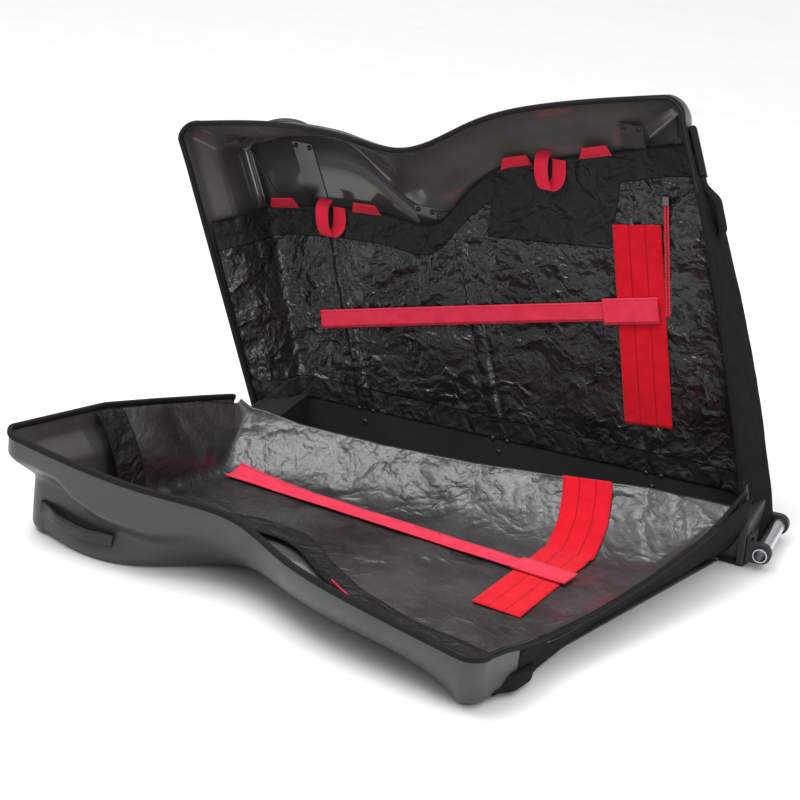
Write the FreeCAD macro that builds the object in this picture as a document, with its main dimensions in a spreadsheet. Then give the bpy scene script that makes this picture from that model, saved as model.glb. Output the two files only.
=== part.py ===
import FreeCAD, Part
import math
import os
from FreeCAD import Placement, Rotation, Vector

# A two-piece travel case for a bicycle, in millimetres, modelled as it lies open.
# X runs along the base towards the pull tube, Y points to the standing back half and Z is up.
# The origin is the middle of the base's underside. The front half folds down to the floor.

doc = FreeCAD.newDocument("travel_case")
sheet = doc.addObject("Spreadsheet::Sheet", "Sizes")

# Driving dimensions. Heights and stations of the outline are those of the closed case.
DIMENSIONS = [
    ("base_length", 1035), ("tub_height", 86), ("tub_wall", 4), ("tub_floor", 4), ("tub_setback", 8),
    ("wheel_block", 72.5), ("hinge_half_wheel", 117), ("hinge_half_handle", 84),
    ("depth_wheel", 190), ("depth_handle", 88), ("shell_wall", 3.5),
    ("rim_depth", 12), ("rim_gap", 0.5), ("rim_proud", 1.5), ("rim_width", 7), ("seam_radius", 3.7),
    ("fit_gap", 0.3), ("tub_clearance", 4.6), ("heel_overhang", 10),
    ("lobe_station", -725), ("lobe_height", 651), ("lobe_corner", 42),
    ("crown_station", -400), ("crown_height", 674), ("waist_station", -255), ("waist_height", 663),
    ("peak_station", 288), ("peak_height", 850), ("peak_corner", 40), ("end_bow", 18),
    ("rise_station", -120), ("rise_below_peak", 111), ("shoulder_station", 13), ("shoulder_below_peak", 56),
    ("brow_station", 150), ("brow_below_peak", 21),
    ("side_inset", 54), ("end_inset", 4), ("lobe_drop", 52), ("crown_drop", 52), ("waist_drop", 135),
    ("rise_drop", 165), ("shoulder_drop", 150), ("brow_drop", 118), ("peak_drop", 36), ("gusset_width", 34),
    ("wheel_radius", 35), ("wheel_width", 24), ("hub_radius", 24), ("tyre_round", 8), ("wheel_station", 31.5),
    ("wheel_centre", 88), ("bearing_radius", 11), ("bearing_width", 7), ("axle_radius", 4),
    ("running_gap", 0.05), ("well_gap", 3), ("nut_radius", 7), ("nut_height", 5),
    ("boot_thickness", 16), ("boot_half_width", 88), ("boot_rise", 2), ("boot_round", 6),
    ("tube_radius", 14), ("tube_wall", 2), ("tube_length", 192), ("tube_reach", 45), ("tube_height", 32),
    ("bracket_width", 14), ("bracket_centre", 81), ("bracket_ring", 6), ("bracket_plate", 5),
    ("bracket_plate_inner", 58), ("bracket_plate_height", 54), ("bracket_plate_foot", 8),
    ("bolt_radius", 3), ("bolt_head", 5), ("bolt_head_height", 4), ("bolt_length", 16), ("bolt_inset", 8),
    ("rivet_radius", 2.4), ("rivet_head", 5.5), ("rivet_dome", 3), ("rivet_drop", 26),
    ("rivet_clinch", 1), ("rivet_clinch_radius", 3.6), ("rivet_margin", 2),
    ("stay_width", 46), ("stay_thickness", 2.5), ("stay_foot_inset", 42),
    ("left_stay_foot", -315), ("left_stay_head", -534), ("left_stay_low", 462), ("left_stay_high", 590),
    ("left_stay_bend", 0), ("middle_stay_bend", 0), ("right_stay_bend", 36),
    ("middle_stay_foot", -21), ("middle_stay_head", -250), ("middle_stay_low", 462),
    ("middle_stay_high", 512), ("right_stay_foot", 303), ("right_stay_head", 170),
    ("right_stay_low_below_peak", 152), ("right_stay_high_below_peak", 82),
    ("liner_thickness", 3), ("liner_standoff", 9), ("liner_sill", 3), ("liner_top_below_peak", 80),
    ("liner_rim_gap", 18), ("liner_lean", 8), ("front_fold", 135),
    ("liner_edge_lobe", 374), ("liner_edge_crown", 460), ("liner_edge_waist", 456),
    ("liner_edge_rise_below_peak", 266), ("liner_edge_peak_below_peak", 128),
    ("panel_thickness", 2), ("panel_width", 97), ("panel_climb", 28), ("panel_slope", 18),
    ("panel_station", 154),
    ("back_panel_below_peak", 288), ("back_panel_foot_station", 232), ("back_panel_foot", 168),
    ("front_panel_below_peak", 378), ("front_panel_foot_station", 188),
    ("back_strap_start", -435), ("back_strap_start_height", 247),
    ("back_strap_end", 162), ("back_strap_end_height", 388),
    ("front_strap_start", -466), ("front_strap_start_height", 176),
    ("front_strap_end", 156), ("front_strap_end_height", 278),
    ("strap_width", 33), ("strap_thickness", 2.5), ("sleeve_thickness", 5), ("sleeve_width", 46),
    ("sleeve_length", 111), ("lay_gap", 0.6),
    ("tab_width", 65), ("tab_taper", 9), ("tab_height", 27), ("tab_lean", 22),
    ("lobe_tab_station", -545), ("crown_tab_station", -362),
    ("shoulder_tab_station", -56), ("brow_tab_station", 103),
    ("loop_width", 62), ("loop_rise", 26), ("loop_drop", 50), ("loop_thickness", 5),
    ("crown_loop_station", -438), ("shoulder_loop_station", 16),
    ("pocket_top_station", 254), ("pocket_top_below_peak", 212),
    ("pocket_foot_station", 290), ("pocket_foot", 402),
    ("zip_width", 8), ("zip_thickness", 1.6), ("slider_width", 12), ("slider_length", 16),
    ("slider_thickness", 5), ("slider_height", 118), ("slider_eye_wall", 1.5), ("slider_eye_width", 4),
    ("puller_length", 34), ("puller_wire", 1.2), ("puller_width", 12),
    ("grip_length", 156), ("grip_width", 26), ("grip_thickness", 7), ("grip_rise", 17), ("top_grip_rise", 28),
    ("grip_foot", 26), ("grip_station", -546), ("grip_depth", 125),
    ("end_grip_depth", 46), ("back_grip_length", 120), ("back_grip_below_peak", 210),
    ("front_grip_length", 150), ("front_grip_below_peak", 123),
    ("apron_thickness", 3.7), ("cut_overrun", 1),
]
for row, (alias, value) in enumerate(DIMENSIONS, start=1):
    sheet.set(f"A{row}", alias)
    sheet.set(f"B{row}", str(value))
    sheet.setAlias(f"B{row}", alias)
doc.recompute()


def size(alias):
    return float(getattr(sheet, alias))


# Heights that follow the peak are kept as drops below it
def below_peak(name):
    return size("peak_height") - size(name + "_below_peak")


HALF_LENGTH = size("base_length") / 2
WALL = size("shell_wall")
GAP = size("fit_gap")
TUB_HEIGHT = size("tub_height")
FAR = 3 * size("base_length")
CORNER_BULGE = 1 - math.sqrt(0.5)


# Linear runs from the wheel end of the base to its handle end
def along(at_wheel_end, at_handle_end, x):
    return at_wheel_end + (at_handle_end - at_wheel_end) * (x + HALF_LENGTH) / size("base_length")


def depth(x):
    return along(size("depth_wheel"), size("depth_handle"), x)


def hinge_half(x):
    return along(size("hinge_half_wheel"), size("hinge_half_handle"), x)


def tub_half(x):
    return hinge_half(x) - size("tub_setback")


FACE_SLOPE = (size("depth_wheel") - size("depth_handle")) / size("base_length")
FACE_SCALE = math.hypot(1, FACE_SLOPE)


# The hinge line's height leaves the folded half's outer face flat on the floor
def hinge_height(x):
    return (depth(x) - hinge_half(x)) / FACE_SCALE


HINGE_START = Vector(-HALF_LENGTH, -hinge_half(-HALF_LENGTH), hinge_height(-HALF_LENGTH))
HINGE_END = Vector(HALF_LENGTH, -hinge_half(HALF_LENGTH), hinge_height(HALF_LENGTH))
HINGE_AXIS = (HINGE_END - HINGE_START).normalize()
CLOSED_NORMAL = Vector(FACE_SLOPE, -1, 0) / FACE_SCALE
OPEN_NORMAL = Vector(0, 0, -1)


def across(vector, axis):
    return vector - axis * vector.dot(axis)


OPEN_ANGLE = math.degrees(across(CLOSED_NORMAL, HINGE_AXIS).getAngle(across(OPEN_NORMAL, HINGE_AXIS)))
FOLDED_DOWN = Placement(Vector(), Rotation(HINGE_AXIS, OPEN_ANGLE), HINGE_START)
print("front hinge", HINGE_START, HINGE_AXIS, "opens", round(OPEN_ANGLE, 4))


# Document objects
def feature(label, shape, placement=None):
    piece = doc.addObject("Part::Feature", label)
    piece.Shape = shape
    if placement is not None:
        piece.Placement = placement
    return piece


def bind(piece, **expressions):
    for path, text in expressions.items():
        piece.setExpression(path.replace("__", "."), text)
    return piece


def place(piece, x="0", y="0", z="0"):
    return bind(piece, Placement__Base__x=x, Placement__Base__y=y, Placement__Base__z=z)


def block(label, length, width, height, x, y, z):
    box = doc.addObject("Part::Box", label)
    bind(box, Length=length, Width=width, Height=height)
    return place(box, x, y, z)


TURNED = {
    "x": Rotation(Vector(0, 1, 0), 90),
    "y": Rotation(Vector(1, 0, 0), -90),
    "z": Rotation(),
}


def rod(label, radius, length, x, y, z, axis="y"):
    cylinder = doc.addObject("Part::Cylinder", label)
    cylinder.Placement = Placement(Vector(), TURNED[axis])
    bind(cylinder, Radius=radius, Height=length)
    return place(cylinder, x, y, z)


def cut(label, base, tool):
    result = doc.addObject("Part::Cut", label)
    result.Base = base
    result.Tool = tool
    return result


def fuse(label, *pieces):
    result = doc.addObject("Part::MultiFuse", label)
    result.Shapes = list(pieces)
    return result


# Group of separate solids under one node
def group(label, *pieces):
    result = doc.addObject("Part::Compound", label)
    result.Links = list(pieces)
    return result


# Base tub: a tapered trough with a wheel block at one end
def taper(label, length, half_wheel, half_handle, height, x, z):
    wedge = doc.addObject("Part::Wedge", label)
    wedge.Placement = Placement(Vector(), Rotation(Vector(0, 0, 1), -90))
    bind(wedge, Xmin=f"-({half_wheel})", Xmax=half_wheel, X2min=f"-({half_handle})", X2max=half_handle)
    bind(wedge, Ymin="0", Ymax=length, Zmin="0", Z2min="0", Zmax=height, Z2max=height)
    return place(wedge, x, "0", z)


WHEEL_END = "-Sizes.base_length / 2"
SIDE_SLOPE = "(Sizes.hinge_half_handle - Sizes.hinge_half_wheel) / Sizes.base_length"
TUB_WHEEL = "Sizes.hinge_half_wheel - Sizes.tub_setback"
TUB_HANDLE = "Sizes.hinge_half_handle - Sizes.tub_setback"
AXLE_X = f"{WHEEL_END} + Sizes.wheel_station"
WELL_TOP = "2 * Sizes.wheel_radius + Sizes.well_gap"
WELL_INNER = "Sizes.wheel_centre - Sizes.wheel_width / 2 - Sizes.well_gap"
WELL_WIDTH = "Sizes.wheel_width + 2 * Sizes.well_gap"
WELL_LENGTH = "Sizes.wheel_station + Sizes.wheel_radius + Sizes.well_gap"
HOUSING_LENGTH = "Sizes.wheel_block - Sizes.tub_wall - Sizes.fit_gap"
TUB_START = f"{WHEEL_END} + Sizes.wheel_block - Sizes.tub_wall"
tub_body = taper(
    "tub_body",
    "Sizes.base_length - Sizes.wheel_block + Sizes.tub_wall",
    f"{TUB_WHEEL} + ({SIDE_SLOPE}) * (Sizes.wheel_block - Sizes.tub_wall)",
    TUB_HANDLE,
    "Sizes.tub_height",
    TUB_START,
    "0",
)
trough = taper(
    "tub_trough",
    "Sizes.base_length - Sizes.wheel_block - Sizes.tub_wall",
    f"{TUB_WHEEL} - Sizes.tub_wall + ({SIDE_SLOPE}) * Sizes.wheel_block",
    f"{TUB_HANDLE} - Sizes.tub_wall - ({SIDE_SLOPE}) * Sizes.tub_wall",
    "Sizes.tub_height",
    f"{WHEEL_END} + Sizes.wheel_block",
    "Sizes.tub_floor",
)
tub_blank = cut("tub_blank", tub_body, trough)
housing_body = taper(
    "housing_body",
    HOUSING_LENGTH,
    TUB_WHEEL,
    f"{TUB_WHEEL} + ({SIDE_SLOPE}) * ({HOUSING_LENGTH})",
    "Sizes.tub_height",
    WHEEL_END,
    "0",
)
well_front = block(
    "well_front", WELL_LENGTH, WELL_WIDTH, WELL_TOP, WHEEL_END, f"-({WELL_INNER}) - ({WELL_WIDTH})", "0"
)
well_back = block("well_back", WELL_LENGTH, WELL_WIDTH, WELL_TOP, WHEEL_END, WELL_INNER, "0")
wheel_hollow = block(
    "wheel_hollow",
    "Sizes.wheel_block - 3 * Sizes.tub_wall",
    f"2 * ({WELL_INNER} - Sizes.tub_wall)",
    "Sizes.tub_height - Sizes.tub_wall",
    f"{WHEEL_END} + Sizes.tub_wall",
    f"-({WELL_INNER}) + Sizes.tub_wall",
    "0",
)
axle_bore = rod(
    "axle_bore",
    "Sizes.axle_radius + Sizes.running_gap",
    "2 * Sizes.hinge_half_wheel",
    AXLE_X,
    "-Sizes.hinge_half_wheel",
    "Sizes.wheel_radius",
)
housing_cuts = fuse("housing_cuts", well_front, well_back, wheel_hollow, axle_bore)
cut("wheel_housing", housing_body, housing_cuts)

# Wheels: skate tyres on moulded hubs, two ball races each, on one axle with a nut at both ends
WHEEL_Z = "Sizes.wheel_radius"


def ring(label, outer, inner, width, y):
    disc = rod(label + "_disc", outer, width, AXLE_X, y, WHEEL_Z)
    eye = rod(label + "_eye", inner, width, AXLE_X, y, WHEEL_Z)
    return cut(label, disc, eye)


for place_name, sign in (("front", "-1"), ("back", "1")):
    start = f"{sign} * Sizes.wheel_centre - Sizes.wheel_width / 2"
    tyre = ring(
        f"{place_name}_tyre_ring",
        "Sizes.wheel_radius",
        "Sizes.hub_radius",
        "Sizes.wheel_width",
        start,
    )
    doc.recompute()
    rounded = doc.addObject("Part::Fillet", f"{place_name}_wheel_tyre")
    rounded.Base = tyre
    rims = [
        number
        for number, edge in enumerate(tyre.Shape.Edges, start=1)
        if len(edge.Vertexes) == 1 and edge.Curve.Radius > size("hub_radius") + GAP
    ]
    rounded.Edges = [(number, size("tyre_round"), size("tyre_round")) for number in rims]
    ring(
        f"{place_name}_wheel_hub",
        "Sizes.hub_radius",
        "Sizes.bearing_radius",
        "Sizes.wheel_width",
        start,
    )
    races = []
    for race, offset in (("inner", "0"), ("outer", "Sizes.wheel_width - Sizes.bearing_width")):
        races.append(
            ring(
                f"{place_name}_{race}_race",
                "Sizes.bearing_radius",
                "Sizes.axle_radius + Sizes.running_gap",
                "Sizes.bearing_width",
                f"{start} + {offset}",
            )
        )
    group(f"{place_name}_wheel_bearings", *races)

AXLE_HALF = f"{TUB_WHEEL} + ({SIDE_SLOPE}) * Sizes.wheel_station + Sizes.nut_height"
rod("wheel_axle", "Sizes.axle_radius", f"2 * ({AXLE_HALF})", AXLE_X, f"-({AXLE_HALF})", WHEEL_Z)
NUT_SEAT = f"{TUB_WHEEL} + Sizes.fit_gap"
NUT_PLACES = {"front_nut": f"-({NUT_SEAT}) - Sizes.nut_height", "back_nut": NUT_SEAT}
nuts = [
    ring(name, "Sizes.nut_radius", "Sizes.axle_radius", "Sizes.nut_height", y)
    for name, y in NUT_PLACES.items()
]
group("axle_nuts", *nuts)

# Handle end: a moulded boot, two brackets and the hollow pull tube
BOOT_X = "Sizes.base_length / 2 + Sizes.fit_gap"
BOOT_FACE = f"{BOOT_X} + Sizes.boot_thickness"
TUBE_X = "Sizes.base_length / 2 + Sizes.tube_reach"
boot_block = block(
    "boot_block",
    "Sizes.boot_thickness",
    "2 * Sizes.boot_half_width",
    "Sizes.tub_height + Sizes.boot_rise",
    BOOT_X,
    "-Sizes.boot_half_width",
    "0",
)
doc.recompute()
boot_round = doc.addObject("Part::Fillet", "boot_round")
boot_round.Base = boot_block
boot_edges = [
    number
    for number, edge in enumerate(boot_block.Shape.Edges, start=1)
    if edge.BoundBox.XMin > boot_block.Shape.BoundBox.XMax - GAP and edge.BoundBox.ZMax > GAP
]
boot_round.Edges = [(number, size("boot_round"), size("boot_round")) for number in boot_edges]

PLATE_X = f"{BOOT_FACE} + Sizes.fit_gap"
PLATE_WIDTH = "Sizes.bracket_centre + Sizes.bracket_width / 2 - Sizes.bracket_plate_inner"
BOLT_Y = "Sizes.bracket_plate_inner + Sizes.bolt_inset"
BOLT_LOW = "Sizes.bracket_plate_foot + Sizes.bolt_inset"
BOLT_HIGH = "Sizes.bracket_plate_foot + Sizes.bracket_plate_height - Sizes.bolt_inset"
bolts = []
bolt_holes = []
for place_name, sign in (("near", -1), ("far", 1)):
    for level, height in (("low", BOLT_LOW), ("high", BOLT_HIGH)):
        y = f"{sign} * ({BOLT_Y})"
        tip = f"{PLATE_X} + Sizes.bracket_plate - Sizes.bolt_length"
        name = f"{place_name}_{level}_bolt"
        shank = rod(name + "_shank", "Sizes.bolt_radius", "Sizes.bolt_length", tip, y, height, "x")
        head_x = f"{PLATE_X} + Sizes.bracket_plate"
        head = rod(name + "_head", "Sizes.bolt_head", "Sizes.bolt_head_height", head_x, y, height, "x")
        bolts.append(fuse(name, shank, head))
        hole = rod(name + "_hole", "Sizes.bolt_radius", "Sizes.bolt_length", tip, y, height, "x")
        bolt_holes.append(hole)
group("bracket_bolts", *bolts)
boot_holes = fuse("boot_holes", *bolt_holes)
cut("handle_end_boot", boot_round, boot_holes)
for place_name, sign in (("near", -1), ("far", 1)):
    inner = "Sizes.bracket_plate_inner"
    plate_y = inner if sign > 0 else f"-({inner}) - ({PLATE_WIDTH})"
    plate = block(
        f"{place_name}_bracket_plate",
        "Sizes.bracket_plate",
        PLATE_WIDTH,
        "Sizes.bracket_plate_height",
        PLATE_X,
        plate_y,
        "Sizes.bracket_plate_foot",
    )
    arm_y = f"{sign} * Sizes.bracket_centre - Sizes.bracket_width / 2"
    arm = block(
        f"{place_name}_bracket_arm",
        f"{TUBE_X} - ({PLATE_X})",
        "Sizes.bracket_width",
        "2 * (Sizes.tube_radius + Sizes.bracket_ring)",
        PLATE_X,
        arm_y,
        "Sizes.tube_height - Sizes.tube_radius - Sizes.bracket_ring",
    )
    collar = rod(
        f"{place_name}_bracket_collar",
        "Sizes.tube_radius + Sizes.bracket_ring",
        "Sizes.bracket_width",
        TUBE_X,
        arm_y,
        "Sizes.tube_height",
    )
    seat = rod(
        f"{place_name}_bracket_seat",
        "Sizes.tube_radius",
        "Sizes.bracket_width",
        TUBE_X,
        arm_y,
        "Sizes.tube_height",
    )
    solid = fuse(f"{place_name}_bracket_solid", plate, arm, collar)
    openings = fuse(f"{place_name}_bracket_openings", seat, boot_holes)
    cut(f"{place_name}_tube_bracket", solid, openings)
TUBE_Y = "-Sizes.tube_length / 2"
tube_rod = rod("tube_rod", "Sizes.tube_radius", "Sizes.tube_length", TUBE_X, TUBE_Y, "Sizes.tube_height")
tube_bore = rod(
    "tube_bore",
    "Sizes.tube_radius - Sizes.tube_wall",
    "Sizes.tube_length",
    TUBE_X,
    TUBE_Y,
    "Sizes.tube_height",
)
cut("pull_tube", tube_rod, tube_bore)


# Outline of a half in its closed place. The level is the share of the depth from the rim to the outer
# face, recess and sweep are the shares of the draft taken there and the shift is an inward offset.
def outline(shift, recess, sweep, level, cover=0.0):
    def point(x, height):
        return Vector(x, level * (depth(x) - cover), height)

    left = recess * size("side_inset") + shift
    right = sweep * size("end_inset") + shift
    heel_x = -HALF_LENGTH - size("heel_overhang") + left
    toe_x = HALF_LENGTH - right
    lobe_x = size("lobe_station") + left
    lobe_z = size("lobe_height") - recess * size("lobe_drop") - shift
    peak_x = size("peak_station") - right
    peak_z = size("peak_height") - sweep * size("peak_drop") - shift
    lobe_r = size("lobe_corner")
    peak_r = size("peak_corner")
    heel = point(heel_x, hinge_height(heel_x) + shift)
    toe = point(toe_x, hinge_height(toe_x) + shift)
    side_top = point(lobe_x, lobe_z - lobe_r)
    lobe_mid = point(lobe_x + CORNER_BULGE * lobe_r, lobe_z - CORNER_BULGE * lobe_r)
    crest = [point(lobe_x + lobe_r, lobe_z)]
    heights = {name: size(name + "_height") for name in ("crown", "waist")}
    heights.update({name: below_peak(name) for name in ("rise", "shoulder", "brow")})
    for name, height in heights.items():
        share = recess if name == "crown" else sweep
        drop = share * size(name + "_drop") + shift
        crest.append(point(size(name + "_station"), height - drop))
    crest.append(point(peak_x - peak_r, peak_z))
    peak_mid = point(peak_x - CORNER_BULGE * peak_r, peak_z - CORNER_BULGE * peak_r)
    end_top = point(peak_x, peak_z - peak_r)
    end_mid = point((peak_x + toe_x) / 2 + size("end_bow"), (end_top.z + toe.z) / 2)
    curve = Part.BSplineCurve()
    curve.interpolate(crest)
    return Part.Wire(
        [
            Part.LineSegment(heel, side_top).toShape(),
            Part.Arc(side_top, lobe_mid, crest[0]).toShape(),
            curve.toShape(),
            Part.Arc(crest[-1], peak_mid, end_top).toShape(),
            Part.Arc(end_top, end_mid, toe).toShape(),
            Part.LineSegment(toe, heel).toShape(),
        ]
    )


# Draft sections, as level, recess and sweep: a plain band at the rim, a step into the recess round the
# low lobe, a rounded belly elsewhere, and a rounded edge into the outer face
SECTIONS = (
    (0.26, 0.08, 0.05),
    (0.36, 0.5, 0.11),
    (0.46, 0.86, 0.19),
    (0.7, 0.88, 0.44),
    (0.9, 0.92, 0.76),
    (1.0, 1.0, 1.0),
)


def dome(shift, cover, start):
    wires = [outline(shift, 0.0, 0.0, start, cover)]
    wires += [outline(shift, recess, sweep, level, cover) for level, recess, sweep in SECTIONS]
    return Part.makeLoft(wires, True, True)


# Prism between two heights over a plan outline
def prism(points, low, high):
    corners = [Vector(x, y, low) for x, y in points]
    face = Part.Face(Part.makePolygon(corners + corners[:1]))
    return face.extrude(Vector(0, 0, high - low))


# Plate across the depth with a profile of stations and heights
def profile_plate(points, start, end):
    corners = [Vector(x, start, z) for x, z in points]
    face = Part.Face(Part.makePolygon(corners + corners[:1]))
    return face.extrude(Vector(0, end - start, 0))


# Room for the base, the hinge and the rim trim in a closed half
clear = size("tub_clearance")
overrun = size("cut_overrun")
left_end = -HALF_LENGTH - overrun
base_room = prism(
    [
        (left_end, -tub_half(left_end) - clear),
        (HALF_LENGTH, -tub_half(HALF_LENGTH) - clear),
        (FAR, -tub_half(HALF_LENGTH) - clear),
        (FAR, tub_half(HALF_LENGTH) + clear),
        (HALF_LENGTH, tub_half(HALF_LENGTH) + clear),
        (left_end, tub_half(left_end) + clear),
    ],
    -overrun,
    TUB_HEIGHT + 2 * GAP,
)
back_hinge_start = Vector(HINGE_START.x, -HINGE_START.y, HINGE_START.z)
back_hinge_axis = Vector(HINGE_AXIS.x, -HINGE_AXIS.y, HINGE_AXIS.z)
hinge_run = (HINGE_END - HINGE_START).Length


def seam_rod(radius, beyond):
    start = back_hinge_start - back_hinge_axis * beyond
    return Part.makeCylinder(radius, hinge_run + 2 * beyond, start, back_hinge_axis)


hinge_room = seam_rod(size("seam_radius") + GAP, HALF_LENGTH)
outer_dome = dome(0.0, 0.0, 0.0)
inner_dome = dome(WALL, WALL, -size("rim_depth") / size("depth_wheel"))
rim_slab = Part.makeBox(2 * FAR, size("rim_depth") + overrun, 2 * FAR, Vector(-FAR, -overrun, -FAR))
wall = outer_dome.cut(inner_dome).cut(rim_slab).cut(base_room).cut(hinge_room)
seam_top = size("peak_station") - size("gusset_width")
seam_foot = HALF_LENGTH - size("gusset_width")
gusset_strip = profile_plate(
    [(seam_top, FAR), (FAR, FAR), (FAR, -GAP), (seam_foot, -GAP), (seam_top, size("peak_height"))],
    -GAP,
    FAR,
)
half_shell = wall.cut(gusset_strip)
end_gusset = wall.common(gusset_strip)

rim_outer = outline(-size("rim_proud"), 0.0, 0.0, 0.0)
rim_inner = outline(size("rim_width") - size("rim_proud"), 0.0, 0.0, 0.0)
rim_face = Part.Face(rim_outer).cut(Part.Face(rim_inner))
rim_face.translate(Vector(0, size("rim_gap"), 0))
rim_binding = rim_face.extrude(Vector(0, size("rim_depth") - size("rim_gap"), 0)).cut(base_room)


# Linings: cloth over the back and side walls of a half. The back half's leans from the top of the base
# to the outer face, and the front half's drops behind the base and then lies along the outer face.
LINER_LOW = TUB_HEIGHT + size("liner_sill")
LINER_HIGH = below_peak("liner_top")


def side_line(height):
    low_z = hinge_height(-HALF_LENGTH)
    share = (height - low_z) / (size("lobe_height") - low_z)
    low_x = -HALF_LENGTH - size("heel_overhang")
    return low_x + (size("lobe_station") - low_x) * share


def end_line(height):
    low_z = hinge_height(HALF_LENGTH)
    share = (height - low_z) / (size("peak_height") - low_z)
    return HALF_LENGTH + (size("peak_station") - HALF_LENGTH) * share


def liner_corners(height, inset):
    stand = WALL + size("liner_standoff") + inset
    left_x = side_line(height) + size("side_inset") + stand
    right_x = end_line(height) - stand
    inner_left = left_x + size("liner_lean")
    inner_right = right_x - size("liner_lean")
    if height > LINER_LOW:
        reach = depth
        back = stand
    else:
        reach = tub_half
        back = size("tub_wall") / 2 + inset
    return [
        (left_x, size("liner_rim_gap")),
        (inner_left, reach(inner_left) - back),
        (inner_right, reach(inner_right) - back),
        (right_x, size("liner_rim_gap")),
    ]


def liner_ring(height):
    outside = liner_corners(height, 0.0)
    inside = liner_corners(height, size("liner_thickness"))
    loop = [Vector(x, y, height) for x, y in outside + inside[::-1]]
    return Part.makePolygon(loop + loop[:1])


BACK_FOLDS = (LINER_LOW, LINER_HIGH)
FRONT_FOLDS = (LINER_LOW, size("front_fold"), LINER_HIGH)


# Front surface of a lining at a station and height, between the folds around that height
def liner_front(x, height, folds=BACK_FOLDS):
    top = next(fold for fold in folds[1:] if height <= fold)
    base = folds[folds.index(top) - 1]
    low = liner_corners(base, size("liner_thickness"))
    high = liner_corners(top, size("liner_thickness"))
    rise = (height - base) / (top - base)
    first = low[1][0] + (high[1][0] - low[1][0]) * rise
    last = low[2][0] + (high[2][0] - low[2][0]) * rise
    share = (x - first) / (last - first)
    low_y = low[1][1] + (low[2][1] - low[1][1]) * share
    high_y = high[1][1] + (high[2][1] - high[1][1]) * share
    return low_y + (high_y - low_y) * rise


LINER_EDGE = [
    (size("lobe_station"), size("liner_edge_lobe")),
    (size("crown_station"), size("liner_edge_crown")),
    (size("waist_station"), size("liner_edge_waist")),
    (size("rise_station"), below_peak("liner_edge_rise")),
    (size("peak_station"), below_peak("liner_edge_peak")),
]


# Height of the curtain's bound upper edge at a station
def liner_edge(x):
    for (x0, z0), (x1, z1) in zip(LINER_EDGE, LINER_EDGE[1:]):
        if x <= x1:
            return z0 + (z1 - z0) * (x - x0) / (x1 - x0)
    return LINER_EDGE[-1][1]


over_edge = [(-FAR, LINER_EDGE[0][1])] + LINER_EDGE + [(FAR, LINER_EDGE[-1][1]), (FAR, FAR), (-FAR, FAR)]
above_edge = profile_plate(over_edge, -GAP, FAR)


def lining(folds):
    return Part.makeLoft([liner_ring(fold) for fold in folds], True, True).cut(above_edge)


# Webbing laid on a lining: sections across a strip, each a pair of edge points
def laid_strip(edges, stand, thickness, folds=BACK_FOLDS):
    sections = []
    for (x0, z0), (x1, z1) in edges:
        y0 = liner_front(x0, z0, folds) - stand
        y1 = liner_front(x1, z1, folds) - stand
        loop = [
            Vector(x0, y0, z0),
            Vector(x1, y1, z1),
            Vector(x1, y1 - thickness, z1),
            Vector(x0, y0 - thickness, z0),
        ]
        sections.append(Part.makePolygon(loop + loop[:1]))
    return Part.makeLoft(sections, True, True)


STRIP_STEPS = 4


def strip_between(start, end, half_width, stand, thickness, folds=BACK_FOLDS):
    run = math.hypot(end[0] - start[0], end[1] - start[1])
    side = (-(end[1] - start[1]) / run * half_width, (end[0] - start[0]) / run * half_width)
    edges = []
    for step in range(STRIP_STEPS + 1):
        x = start[0] + (end[0] - start[0]) * step / STRIP_STEPS
        z = start[1] + (end[1] - start[1]) * step / STRIP_STEPS
        edges.append(((x - side[0], z - side[1]), (x + side[0], z + side[1])))
    return laid_strip(edges, stand, thickness, folds)


LAY = size("lay_gap")


# Loop panels: the upper left corner, then the lower left one. The front one also climbs to the base.
def panel_edges(left, top, low_left, low):
    edges = []
    for step in range(STRIP_STEPS + 1):
        share = step / STRIP_STEPS
        x = left + (low_left - left) * share
        z = top + (low - top) * share
        slope = size("panel_slope") * (1 - share)
        edges.append(((x, z), (x + size("panel_width"), z + slope)))
    return edges


def long_strap(start, end, folds):
    stand = 2 * LAY + size("panel_thickness")
    return strip_between(start, end, size("strap_width") / 2, stand, size("strap_thickness"), folds)


def strap_sleeve(start, end, folds):
    run = math.hypot(end[0] - start[0], end[1] - start[1])
    step = size("sleeve_length") / run
    first = (end[0] + GAP, end[1])
    last = (end[0] + (end[0] - start[0]) * step, end[1] + (end[1] - start[1]) * step)
    stand = 2 * LAY + size("panel_thickness")
    return strip_between(first, last, size("sleeve_width") / 2, stand, size("sleeve_thickness"), folds)


TAB_STATIONS = [size(name + "_tab_station") for name in ("lobe", "crown", "shoulder", "brow")]
LOOP_STATIONS = [size(name + "_loop_station") for name in ("crown", "shoulder")]


# Cross-section of a flat piece between two stations, at a height and with its back face at two depths
def flat_section(left, right, left_back, right_back, thickness):
    loop = [
        Vector(left[0], left_back, left[1]),
        Vector(right[0], right_back, right[1]),
        Vector(right[0], right_back - thickness, right[1]),
        Vector(left[0], left_back - thickness, left[1]),
    ]
    return Part.makePolygon(loop + loop[:1])


# Trapezoid tabs that stand on the bound edge and lean off the wall behind
def edge_tab(middle, folds):
    thickness = size("liner_thickness")
    half = size("tab_width") / 2
    foot = [(x, liner_edge(x) + GAP) for x in (middle - half, middle + half)]
    half -= size("tab_taper")
    head = [(x, liner_edge(x) + size("tab_height")) for x in (middle - half, middle + half)]
    foot_back = [liner_front(x, liner_edge(x), folds) for x, height in foot]
    head_back = [liner_front(x, liner_edge(x), folds) - size("tab_lean") for x, height in head]
    sections = [flat_section(*foot, *foot_back, thickness), flat_section(*head, *head_back, thickness)]
    return Part.makeLoft(sections, True, True)


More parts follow.
